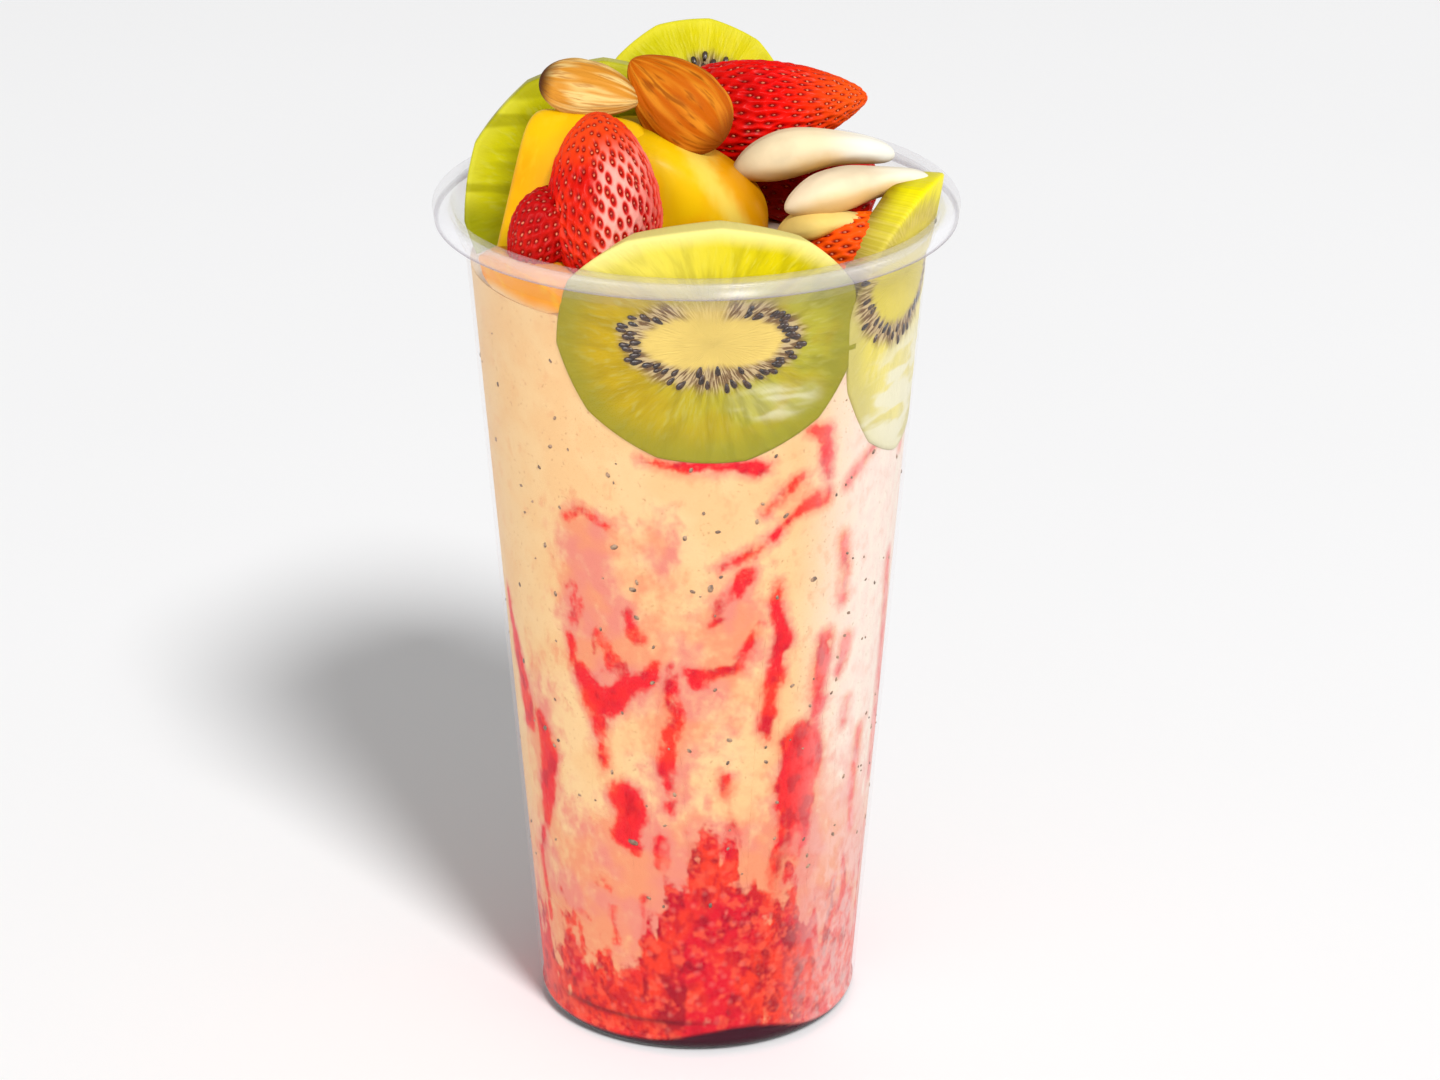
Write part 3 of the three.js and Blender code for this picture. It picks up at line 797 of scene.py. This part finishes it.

# Tints run from a slice's left end to its right end, under the rim and above it. Above the rim the flesh
# takes the brighter tints as painted light.
kiwiSlices = {
    "kiwi_front": {
        "half": (29.2, 22.7), "ring": (14.8, 7), "core": (0.2, 0.9), "turn": 0.2, "seeds": 66,
        "bare": (100, 36),  # few seeds show in this direction, and so far each way
        "thickness": 5, "wall": (3.9, 143.9, 0),
        "rays": (0.74, 0.78),  # how dark the rays are, under the rim and above it
        "film": (12, -11, 9, 4, 0.36),  # a pale patch, part drink between slice and wall and part painted highlight: its middle, reach and strength
        "low": ((203, 168, 10), (185, 177, 54)), "high": ((250, 232, 104), (228, 208, 6)),
        "edge": (250, 236, 140),
    },
    "kiwi_right": {
        "half": (21, 26), "ring": (13, 11.5), "core": (-5, 10), "coreTint": (228, 208, 84), "turn": 0.5,
        "seeds": 52, "bare": (90, 96), "thickness": 7, "wall": (70.5, 140.5, 0.09), "rays": (0.85, 0.8),
        "film": (0, -15, 20, 14, 0.6), "low": ((238, 220, 100), (244, 228, 140)),
        # inner: painted shade, the olive of the slice's inward side above the rim
        "high": ((236, 218, 0), (254, 240, 4)), "edge": (254, 240, 8), "inner": (150, 122, 6),
    },
    "kiwi_rear": {
        "half": (22.5, 22), "ring": (12, 10), "core": (0, 0), "turn": 0.1, "seeds": 44,
        "bare": (90, 20), "thickness": 5, "wall": (-158, 141, 0), "rays": (0.65, 0.75),
        "film": (-8, -12, 10, 5, 0.4), "low": ((190, 170, 40), (176, 166, 60)),
        "high": ((226, 210, 40), (214, 200, 14)), "edge": (246, 232, 110),
    },
    "kiwi_left": {
        "half": (25.4, 25.4), "ring": (10, 11), "core": (0, 0), "turn": 0, "seeds": 40,
        "bare": (90, 20), "thickness": 8, "place": ((-16.7, 0.4, 156.8), (78, 0, -8)),
        "rays": (0.85, 0.88), "low": ((192, 188, 10), (172, 174, 8)),
        "high": ((204, 198, 8), (188, 186, 6)), "edge": (214, 208, 50), "bands": True,
    },
    "kiwi_back": {
        "half": (17.4, 17.4), "ring": (6, 8.6), "core": (2.2, -0.3), "turn": 0.3, "seeds": 36,
        "bare": (-90, 10), "thickness": 6, "place": ((-0.3, 19.5, 168.4), (55, 0, 0)),
        "rays": (0.9, 0.93), "low": ((190, 180, 10), (226, 214, 16)),
        "high": ((212, 206, 6), (240, 226, 20)), "edge": (236, 226, 50),
    },
}


def facetShare(angle, turn):
    side = 2 * math.pi / kiwi["facets"]
    within = (angle + turn) % side
    flat = math.cos(side / 2) / math.cos(within - side / 2)
    return 1 - 0.5 * (1 - flat)


def ringDistance(x, y, spec):
    # mm outside the middle of the seeds' ring, or below 0 inside it
    coreX, coreY = x - spec["core"][0], y - spec["core"][1]
    across = math.hypot(coreX / spec["ring"][0], coreY / spec["ring"][1])
    fromCore = math.hypot(coreX, coreY)
    return fromCore - fromCore / max(across, 0.05)


def addSeeds(bm, spec, rng):
    # oval seeds lie flat in the ring round the core and point away from it
    ringX, ringY = spec["ring"]
    coreX, coreY = spec["core"]
    parts = bmesh.new()
    for i in range(spec["seeds"]):
        angle = 2 * math.pi * (i + rng.uniform(-0.4, 0.4)) / spec["seeds"]
        fromBare = abs(aroundWall(math.degrees(angle), spec["bare"][0])) / spec["bare"][1]
        if fromBare < 1 and rng.random() > 0.3 * fromBare:
            continue
        x, y = ringX * math.cos(angle), ringY * math.sin(angle)
        away = Vector((x, y)).normalized() * rng.uniform(-1.9, 1.9)
        size = rng.uniform(0.75, 1.1)
        seed = ball(parts, 2)
        for vertex in seed:
            narrow = 1 + 0.4 * vertex.co.x
            vertex.co.x *= kiwi["seedLength"] / 2 * size
            vertex.co.y *= kiwi["seedWidth"] / 2 * size * narrow
            vertex.co.z *= 0.4
        turn = math.atan2(y, x) + rng.uniform(-0.2, 0.2)
        bmesh.ops.rotate(parts, matrix=Matrix.Rotation(turn, 3, "Z"), verts=seed, cent=(0, 0, 0))
        bmesh.ops.translate(parts, vec=(coreX + x + away.x, coreY + y + away.y, -0.12), verts=seed)
    addParts(bm, parts)


def makeKiwi(node, spec, seedPaint):
    rng = random.Random(node)
    rings = kiwi["rings"]
    face = [(0.985 * i / rings, 1) for i in range(rings + 1)]
    rim = [(0.997, 0.9), (1, 0.7), (1, 0.25), (1, -0.25), (1, -0.7), (0.997, -0.9)]
    bm = bmesh.new()
    spinProfile(bm, face + rim + [(radius, -1) for radius, _ in reversed(face)], kiwi["steps"])
    halfWidth, halfHeight = spec["half"]
    wavy = rng.uniform(0, 9)
    for vertex in bm.verts:
        x, y, side = vertex.co
        angle = math.atan2(y, x)
        outline = facetShare(angle, spec["turn"])
        x *= halfWidth * outline
        y *= halfHeight * outline
        fibres = noise.noise(Vector((7 * math.cos(angle), 7 * math.sin(angle), wavy)))
        fromRing = ringDistance(x, y, spec)
        relief = 0.3 * fibres * smoothStep(fromRing, -3, 3) - 0.25 * bell(fromRing, 0, 2.2)
        z = (side - 1) * spec["thickness"] / 2
        if abs(side) == 1:
            z += relief * side * (0.3 if "wall" in spec else 1)
        vertex.co = (x, y, z)
    addSeeds(bm, spec, rng)
    ringPlace = bm.verts.layers.float_vector.new("ringPlace")
    edgeShare, sunny, rightShare = newLayers(bm, "edgeShare", "sunny", "rightShare")
    film, inward, bare = newLayers(bm, "film", "inward", "bare")
    filmX, filmY, filmWide, filmTall, filmStrength = spec.get("film", (0, 0, 1, 1, 0))
    for vertex in bm.verts:
        x, y, z = vertex.co
        vertex[rightShare] = smoothStep(x / halfWidth, -0.75, 0.35)
        away = math.hypot((x - filmX) / filmWide, (y - filmY) / filmTall)
        vertex[film] = filmStrength * (1 - smoothStep(away, 0.5, 1.2)) if z > -1 else 0
        vertex[inward] = smoothStep(-z / spec["thickness"], 0.45, 0.85)
        direction = Vector((x - spec["core"][0], y - spec["core"][1])).normalized()
        fromBare = abs(aroundWall(math.degrees(math.atan2(direction.y, direction.x)), spec["bare"][0]))
        vertex[bare] = 0.75 * (1 - smoothStep(fromBare / spec["bare"][1], 0.6, 1.1))
        vertex[ringPlace] = (direction.x, direction.y, ringDistance(x, y, spec))
        outline = facetShare(math.atan2(y, x), spec["turn"])
        vertex[edgeShare] = math.hypot(x / halfWidth, y / halfHeight) / outline
    if "wall" in spec:
        azimuth, centreHeight, lean = spec["wall"]
        for vertex in bm.verts:
            x, y, z = vertex.co
            height = y + centreHeight
            radius = innerRadius(height) + kiwi["wallReach"] + z + lean * max(0.0, y)
            angle = math.radians(azimuth) + x / innerRadius(centreHeight)
            vertex.co = (*aroundAxis(radius, angle), height)
    else:
        standAt(bm, *spec["place"])
    for vertex in bm.verts:
        # painted light: above the rim the slice takes its brighter tints
        vertex[sunny] = smoothStep(vertex.co.z, 153, 158)
    keepInCup(bm, kiwi["wallReach"] + fruitReach)
    finishPiece(bm, node, "kiwi", kiwiPaint(node, spec), seedPaint)


def kiwiPaint(node, spec):
    material = newMaterial(nameOf(node) + "Flesh", 0.4, 0.05)
    coreTint = tint(*spec.get("coreTint", (238, 206, 112)))
    ring = attribute("ringPlace", "Vector")
    fromRing = addNode("SeparateXYZ", {0: ring}).outputs[2]
    heading = addNode("VectorMath", {0: ring, 1: (1, 1, 0.016)}, operation="MULTIPLY").outputs[0]
    rays = noiseOf(heading, 9, 1, 0.5)
    fineRays = noiseOf(heading, 26, 1, 0.5)
    cloud = noiseOf(objectPlace(), 160, 2)
    edge = attribute("edgeShare")
    right = attribute("rightShare")
    parts = []
    for (left, other), depth in zip((spec["low"], spec["high"]), spec["rays"]):
        lit = blendOf(right, tint(*left), tint(*other))
        shade = blendOf(right, shaded(tint(*left), (1 + 2 * depth) / 3), shaded(tint(*other), depth))
        part = over(shade, lit, rays, 0.34, 0.6)
        pale = tint(*[c + (255 - c) * 0.3 for c in other])
        parts.append(over(part, pale, fineRays, 0.5, 0.72, 0.3))
    flesh = over(parts[0], shaded(tint(*spec["low"][0]), 0.85), cloud, 0.45, 0.65, 0.4)
    flesh = over(flesh, shaded(tint(*spec["low"][1]), 0.66), edge, 0.66, 0.95, 0.75)
    streaks = noiseOf(objectPlace((0.3, 0.3, 1)), 260, 2)
    # a pale patch: a film of drink between slice and wall, and a painted highlight
    film = sums("MULTIPLY", attribute("film"), smooth(streaks, 0.42, 0.54, 0.3, 1.5))
    flesh = blendOf(film, flesh, tint(242, 236, 206))
    bright = over(parts[1], tint(*spec["edge"]), edge, 0.84, 0.99)
    if "bands" in spec:
        bands = noiseOf(objectPlace((0.2, 0.2, 1)), 300, 1)
        bright = over(bright, shaded(tint(*spec["high"][0]), 0.62), bands, 0.46, 0.6, 0.8)
    # painted shade: the inward side of the slice is olive above the rim
    if "inner" in spec:
        inner = over(tint(*spec["inner"]), tint(196, 176, 8), cloud, 0.4, 0.6)
        bright = blendOf(attribute("inward"), bright, inner)
    # painted light: brighter flesh above the rim
    flesh = blendOf(attribute("sunny"), flesh, bright)
    halo = over(tint(126, 96, 66), tint(206, 180, 134), fineRays, 0.42, 0.6)
    wobble = ruffled(fromRing, rays, 2.4)
    halo = over(halo, flesh, wobble, 0.2, 3.4)
    seedless = over(coreTint, flesh, wobble, -1.5, 3)
    halo = blendOf(attribute("bare"), halo, seedless)
    core = over(coreTint, shaded(coreTint, 0.93), cloud, 0.4, 0.6)
    flesh = over(core, halo, wobble, -3.4, -1.2)
    return finishMaterial(material, flesh, fineRays, 0.0003, 0.5)


# Strawberries. These, the nuts and the mango each start as a ball of evenly spread corners.

strawberry = {
    "pitWidth": 0.64,
    "pitStretch": 1.5,  # pits are longer towards the tip
    "pitDepth": 0.5,
    "pillow": 0.22,
    "achene": (0.25, 0.4, 0.2),
}

# Skin tints: in the shade, lit, and at the tip.
strawberries = {
    "strawberry_front": {
        "length": 30, "width": 22, "depth": 19, "slope": 0.1, "pits": 430, "detail": 7,
        "place": ((-16.2, -24.2, 165), (158, 4, 0)),
        "skin": ((220, 18, 6), (242, 52, 16), (246, 72, 20)),
        "sheen": (-18.6, -6),  # a painted highlight, a pale band, lies between these places across the cup
    },
    "strawberry_side": {
        "length": 21, "width": 15.4, "depth": 15.5, "slope": 0.27, "pits": 240, "detail": 6,
        "place": ((-27, -24, 158), (14, 22, 0)), "skin": ((196, 8, 8), (214, 26, 14), (222, 40, 20)),
    },
    "strawberry_back": {
        "length": 36, "width": 22, "depth": 22, "slope": 0.27, "pits": 470, "detail": 7,
        "place": ((11.6, 5, 172.6), (0, -98, 8)), "skin": ((242, 6, 4), (258, 16, 4), (248, 86, 12)),
    },
    # strawberry_right's tints are raised past 255 as painted light where it lies in shade under the cashews
    "strawberry_right": {
        "length": 26, "width": 17, "depth": 15, "slope": 0.27, "pits": 260, "detail": 6,
        "place": ((24, -19.6, 154), (0, 78, 38)),
        "skin": ((292, 98, 12), (298, 140, 22), (298, 156, 34)),
    },
    "strawberry_low": {
        "length": 27, "width": 20, "depth": 20, "slope": 0.27, "pits": 280, "detail": 6,
        "place": ((20, 8, 157.6), (12, 84, -30)), "skin": ((196, 8, 8), (214, 20, 10), (230, 60, 20)),
    },
    "strawberry_rear": {
        "length": 28, "width": 20, "depth": 20, "slope": 0.27, "pits": 290, "detail": 6,
        "place": ((-21, 21, 162), (20, -160, 30)), "skin": ((204, 8, 8), (222, 24, 10), (238, 76, 20)),
    },
}


def strawberryShape(point, spec):
    slope = spec["slope"]
    taper = 0.98 - 0.52 * slope + slope * point.z - 0.1 * point.z**2
    shoulder = 0.75 + 0.55 * (point.z - 0.75) if point.z > 0.75 else point.z
    lump = 1 + 0.035 * noise.noise(point * 1.7 + Vector((spec["length"], 0, 0)))
    return Vector(
        (
            point.x * taper * lump * spec["width"] / 2,
            point.y * taper * lump * spec["depth"] / 2,
            shoulder * spec["length"] / 1.86,
        )
    )


def pitPlaces(count, rng):
    # evenly spread over a ball, with a little disorder
    golden = math.pi * (3 - math.sqrt(5))
    places = []
    for i in range(count):
        z = 1 - (2 * i + 1) / count
        radius = math.sqrt(1 - z * z)
        point = Vector((radius * math.cos(golden * i), radius * math.sin(golden * i), z))
        jitter = Vector((rng.uniform(-1, 1), rng.uniform(-1, 1), rng.uniform(-1, 1)))
        places.append((point + jitter * 0.045).normalized())
    return places


def makeStrawberry(node, spec, achenePaint):
    rng = random.Random(node)
    pits = pitPlaces(spec["pits"], rng)
    tree = KDTree(len(pits))
    for i, point in enumerate(pits):
        tree.insert(point, i)
    tree.balance()
    scale = (spec["width"] + spec["depth"] + spec["length"]) / 6
    bm = bmesh.new()
    pit, along = newLayers(bm, "pit", "along")
    made = ball(bm, spec["detail"])
    slant = Vector((0.4, 0, 1)).normalized()
    shorter = 1 - strawberry["pitStretch"] ** -2
    for vertex in made:
        point = vertex.co.normalized()
        offset = point - tree.find(point)[0]
        near = math.sqrt(max(0.0, offset.length_squared - shorter * offset.dot(slant) ** 2)) * scale
        hollow = bell(near, 0, strawberry["pitWidth"])
        raised = strawberry["pillow"] * (smoothStep(near, 0.4, 1.8) - 1) - strawberry["pitDepth"] * hollow
        place = strawberryShape(point, spec)
        vertex.co = place + place.normalized() * raised
        vertex[pit] = hollow
        vertex[along] = point.z
    parts = bmesh.new()
    for point in pits:
        place = strawberryShape(point, spec)
        out = place.normalized()
        seed = ball(parts, 1)
        bmesh.ops.scale(parts, vec=strawberry["achene"], verts=seed)
        turn = out.to_track_quat("Z", "Y").to_matrix()
        bmesh.ops.rotate(parts, matrix=turn, verts=seed, cent=(0, 0, 0))
        sunk = strawberry["pitDepth"] + strawberry["pillow"] - 0.08
        bmesh.ops.translate(parts, vec=place - out * sunk, verts=seed)
    addParts(bm, parts)
    sheen = bm.verts.layers.float.new("sheen")
    standAt(bm, *spec["place"])
    # painted highlight: a pale band across the berry's right part, fading near its top
    if "sheen" in spec:
        left, right = spec["sheen"]
        for vertex in bm.verts:
            x, _, height = vertex.co
            across = (x - left) / (right - left)
            lit = smoothStep(across, 0, 0.22) * (1 - 0.75 * smoothStep(across, 0.5, 0.95))
            vertex[sheen] = lit * (1 - smoothStep(height, 172, 178))
    keepInCup(bm, fruitReach)
    finishPiece(bm, node, "strawberry", strawberrySkin(node, spec), achenePaint)


def strawberrySkin(node, spec):
    shade, lit, tip = spec["skin"]
    material = newMaterial(
        nameOf(node) + "Skin", 0.42, 0.05, Coat_Weight=0.03, Coat_Roughness=0.2
    )
    cloud = noiseOf(objectPlace(), 110, 3)
    red = over(tint(*shade), tint(*lit), cloud, 0.38, 0.62)
    red = over(red, tint(*tip), attribute("along"), -0.2, -0.95)
    pit = attribute("pit")
    # painted highlight on the ridges between the pits
    paintedHighlight = sums("MULTIPLY", attribute("sheen"), smooth(pit, 0.5, 0.08, 0, 0.78))
    red = blendOf(paintedHighlight, red, tint(255, 192, 176))
    # painted shade: the pits are darker
    red = over(red, tint(150, 4, 8), pit, 0.25, 0.95)
    return finishMaterial(material, red, noiseOf(objectPlace(), 1400), 0.0001, 0.4)


# Almonds

# Skin tints: brown, the pale ridges, the creases, and the blunt end, which is painted shade.
almonds = {
    "almond_middle": {
        "length": 21.8, "width": 14.6, "thickness": 8.6, "place": ((-3.4, -10.4, 179.2), (-24, 222, 0)),
        "skin": ((200, 96, 4), (226, 136, 30), (136, 58, 2), (150, 70, 6)),
    },
    "almond_left": {
        "length": 18.8, "width": 10.6, "thickness": 7.4, "place": ((-18.5, -9.6, 181.1), (-52, 14, 0)),
        "skin": ((222, 148, 50), (248, 208, 130), (184, 108, 30), (88, 46, 14)),
    },
}


def makeAlmond(node, spec):
    bm = bmesh.new()
    grain = bm.verts.layers.float_vector.new("grain")
    blunt = bm.verts.layers.float.new("blunt")
    made = ball(bm, 7)
    for vertex in made:
        point = vertex.co.normalized()
        narrow = 1.02 - 0.2 * point.x - 0.2 * max(point.x, 0) ** 2
        turn = math.atan2(point.y, point.z)
        around = Vector((math.cos(turn) * 3.2, math.sin(turn) * 3.2, point.x * 0.9 + spec["length"]))
        ridges = 0.05 * noise.noise(around) + 0.035 * noise.noise(around * 2.4)
        place = Vector(
            (
                point.x * spec["length"] / 2,
                point.y * narrow * (1 + ridges) * spec["thickness"] / 2,
                point.z * narrow * (1 + ridges) * spec["width"] / 2,
            )
        )
        vertex[grain] = around
        vertex[blunt] = smoothStep(-point.x, 0.6, 0.95)
        vertex.co = place
    standAt(bm, *spec["place"])
    finishPiece(bm, node, "almond", almondSkin(node, spec))


def almondSkin(node, spec):
    brown, pale, crease, end = [tint(*colour) for colour in spec["skin"]]
    material = newMaterial(nameOf(node) + "Skin", 0.55, 0.04)
    grain = attribute("grain", "Vector")
    wide = noiseOf(grain, 1.0, 1, 0.5)
    folds = noiseOf(grain, 2.0, 2, 0.5)
    skin = over(brown, pale, wide, 0.4, 0.62)
    skin = over(skin, crease, folds, 0.53, 0.7, 0.7)
    # painted shade: the blunt end is darker
    skin = blendOf(attribute("blunt"), skin, end)
    return finishMaterial(material, skin, folds, 0.0004, 0.7)


# Cashews

# Skin tints: pale, the golden underside, and the right end, which is a painted highlight.
cashews = {
    "cashew_upper": {
        "length": 30, "width": 8.6, "thickness": 8.4, "bend": 36,
        "place": ((20.6, -7, 169.2), (0, -5, 6)),
        "skin": ((250, 228, 186), (234, 178, 88), (254, 250, 236)),
    },
    "cashew_lower": {
        "length": 29, "width": 7.8, "thickness": 10, "bend": 60,
        "place": ((28.2, -16.5, 165.6), (-20, -12, 24)),
        "skin": ((256, 232, 194), (248, 202, 128), (258, 250, 228)),
    },
    "cashew_half": {
        "length": 17, "width": 5.2, "thickness": 8, "bend": 26,
        "place": ((22.4, -21.4, 160.6), (0, -4, 10)),
        "skin": ((256, 220, 124), (240, 172, 60), (256, 226, 140)),
    },
}


def makeCashew(node, spec):
    bm = bmesh.new()
    side, along = newLayers(bm, "side", "along")
    made = ball(bm, 6)
    for vertex in made:
        point = vertex.co.normalized()
        lumps = 1 + 0.04 * noise.noise(point * 2.2 + Vector((spec["bend"], 0, 0)))
        swell = (0.93 + 0.2 * math.cos(3.2 * (point.x + 0.5))) * lumps
        seam = 0.05 * bell(point.y, 0, 0.09) * smoothStep(point.z, -0.2, 0.6)
        turn = point.x * spec["length"] / 2 / spec["bend"]
        radius = spec["bend"] + point.z * (swell - seam) * spec["width"] / 2
        vertex[side] = point.z
        vertex[along] = point.x
        vertex.co = (
            radius * math.sin(turn),
            point.y * swell * spec["thickness"] / 2,
            radius * math.cos(turn) - spec["bend"],
        )
    standAt(bm, *spec["place"])
    finishPiece(bm, node, "cashew", cashewSkin(node, spec))


def cashewSkin(node, spec):
    pale, golden, end = [tint(*colour) for colour in spec["skin"]]
    material = newMaterial(nameOf(node) + "Skin", 0.5, 0.08)
    cloud = noiseOf(objectPlace(), 140, 3)
    skin = over(pale, shaded(pale, 0.9), cloud, 0.4, 0.62)
    # painted highlight: paler towards the right end
    skin = over(skin, end, attribute("along"), 0.0, 0.7)
    under = ruffled(attribute("side"), cloud, 0.8)
    skin = over(skin, golden, under, 0.15, -0.75)
    return finishMaterial(material, skin, noiseOf(objectPlace(), 700), 0.0001, 0.4)


# Mango

mangoes = {
    "mango_left": {
        "width": 25, "depth": 12, "height": 33.4, "squareness": 7, "crown": 0, "taper": 0.1, "bow": 2,
        "place": ((-20.9, -15.6, 161), (-22, 9, -14)), "flesh": ((251, 196, 8), (248, 172, 8)),
    },
    "mango_middle": {
        "width": 37, "depth": 24, "height": 25, "squareness": 3.4, "crown": 0.1, "taper": 0.08,
        "bow": 0, "place": ((-5, -10.6, 159.6), (-4, 30, 0)), "flesh": ((252, 200, 8), (250, 178, 8)),
        "highlightAndShade": ((0.9, 171.4), (0.825, 0.565)),  # a point on the left edge of its right side, where a painted highlight runs, and the way towards that side's painted shade
    },
    "mango_back": {
        "width": 28, "depth": 17, "height": 20, "squareness": 3.2, "crown": 0.18, "taper": 0.08,
        "bow": 0, "place": ((3, 27, 157), (0, 0, 10)), "flesh": ((251, 196, 8), (248, 172, 8)),
    },
    "mango_low": {
        "width": 26, "depth": 17, "height": 10, "squareness": 3.2, "crown": 0.18, "taper": 0.08,
        "bow": 0, "place": ((-27.4, -23, 151), (0, 0, -38)), "flesh": ((254, 164, 34), (252, 150, 18)),
        "sunk": (146, 149.2),  # the drink closes over it between these heights
    },
}


def makeMango(node, spec):
    bm = bmesh.new()
    made = ball(bm, 6)
    power = spec["squareness"]
    depth = spec["depth"]
    for vertex in made:
        point = vertex.co.normalized()
        point *= (abs(point.x) ** power + abs(point.y) ** power + abs(point.z) ** power) ** (-1 / power)
        across = point.x * point.x
        lumps = 1 + 0.02 * noise.noise(point * 1.6 + Vector((depth, 0, 0)))
        bulge = spec["crown"] * depth * across / 2 + spec["bow"] * across
        vertex.co = (
            point.x * spec["width"] * (1 - spec["taper"] * point.z) / 2,
            point.y * depth * lumps / 2 + bulge,
            point.z * spec["height"] * (1 - spec["crown"] * across) * lumps / 2,
        )
    standAt(bm, *spec["place"])
    keepInCup(bm, fruitReach)
    if "sunk" in spec:
        for vertex in bm.verts:
            inward = 0.01 * (1 - smoothStep(vertex.co.z, *spec["sunk"]))
            vertex.co.x *= 1 - inward
            vertex.co.y *= 1 - inward
    highlightAndShade = bm.verts.layers.float.new("highlightAndShade")
    (fromX, fromZ), (toX, toZ) = spec.get("highlightAndShade", ((0, 0), (0, 0)))
    for vertex in bm.verts:
        vertex[highlightAndShade] = (vertex.co.x - fromX) * toX + (vertex.co.z - fromZ) * toZ if toX else -9
    finishPiece(bm, node, "mango", mangoFlesh(node, spec))


def mangoFlesh(node, spec):
    light, orange = [tint(*colour) for colour in spec["flesh"]]
    material = newMaterial(
        nameOf(node) + "Flesh", 0.38, 0.05, Coat_Weight=0.02, Coat_Roughness=0.16
    )
    fibres = noiseOf(objectPlace((1, 1, 0.25)), 500, 2)
    cloud = noiseOf(objectPlace(), 70, 2)
    flesh = over(light, orange, cloud, 0.38, 0.62)
    flesh = over(flesh, tint(252, 206, 40), fibres, 0.5, 0.7, 0.3)
    face = ruffled(attribute("highlightAndShade"), fibres, 2.0)
    # painted highlight along the line, then painted shade beyond it: orange, darkening further out
    flesh = over(flesh, tint(254, 226, 110), face, -3.4, -0.8, 0.6)
    flesh = over(flesh, tint(252, 172, 6), face, -0.8, 1.8)
    flesh = over(flesh, tint(254, 160, 4), face, 1.5, 6.5)
    if "sunk" in spec:
        low, high = [height * mm for height in spec["sunk"]]
        height = addNode("SeparateXYZ", {0: objectPlace()}).outputs[2]
        height = ruffled(height, cloud, 0.005)
        flesh = over(tint(251, 205, 146, "drink"), flesh, height, low, high)
    return finishMaterial(material, flesh, fibres, 0.0002, 0.4)


# Stage


def makeFloor():
    bm = bmesh.new()
    bmesh.ops.create_grid(bm, x_segments=1, y_segments=1, size=6)
    mesh = bpy.data.meshes.new("floor")
    bm.to_mesh(mesh)
    bm.free()
    white = (*lights["floor"], 1)
    mesh.materials.append(
        twoTone("floorPaint", 4, white, shaded(white, 0.99), 0.2, 0.9, 0.1)
    )
    floor = bpy.data.objects.new("floor", mesh)
    scene.collection.objects.link(floor)


makeCamera()
makeLights()
makeFloor()
print("camera, lights and floor placed")
makeCup()
drinkMaterial = drinkPaint()
sunkSeed = twoTone("sunkSeed", 700, tint(104, 78, 60), tint(176, 140, 108), 0.15, 0.5)
makeSmoothie(drinkMaterial, sunkSeed)
makePuree(drinkMaterial, sunkSeed)
kiwiSeed = twoTone("kiwiSeed", 900, tint(34, 18, 10), tint(74, 46, 26), 0.15, 0.28)
for node, spec in kiwiSlices.items():
    makeKiwi(node, spec, kiwiSeed)
achene = twoTone("achene", 500, tint(190, 60, 34), tint(238, 128, 84), 0.1, 0.35)
for node, spec in strawberries.items():
    makeStrawberry(node, spec, achene)
for node, spec in almonds.items():
    makeAlmond(node, spec)
for node, spec in cashews.items():
    makeCashew(node, spec)
for node, spec in mangoes.items():
    makeMango(node, spec)
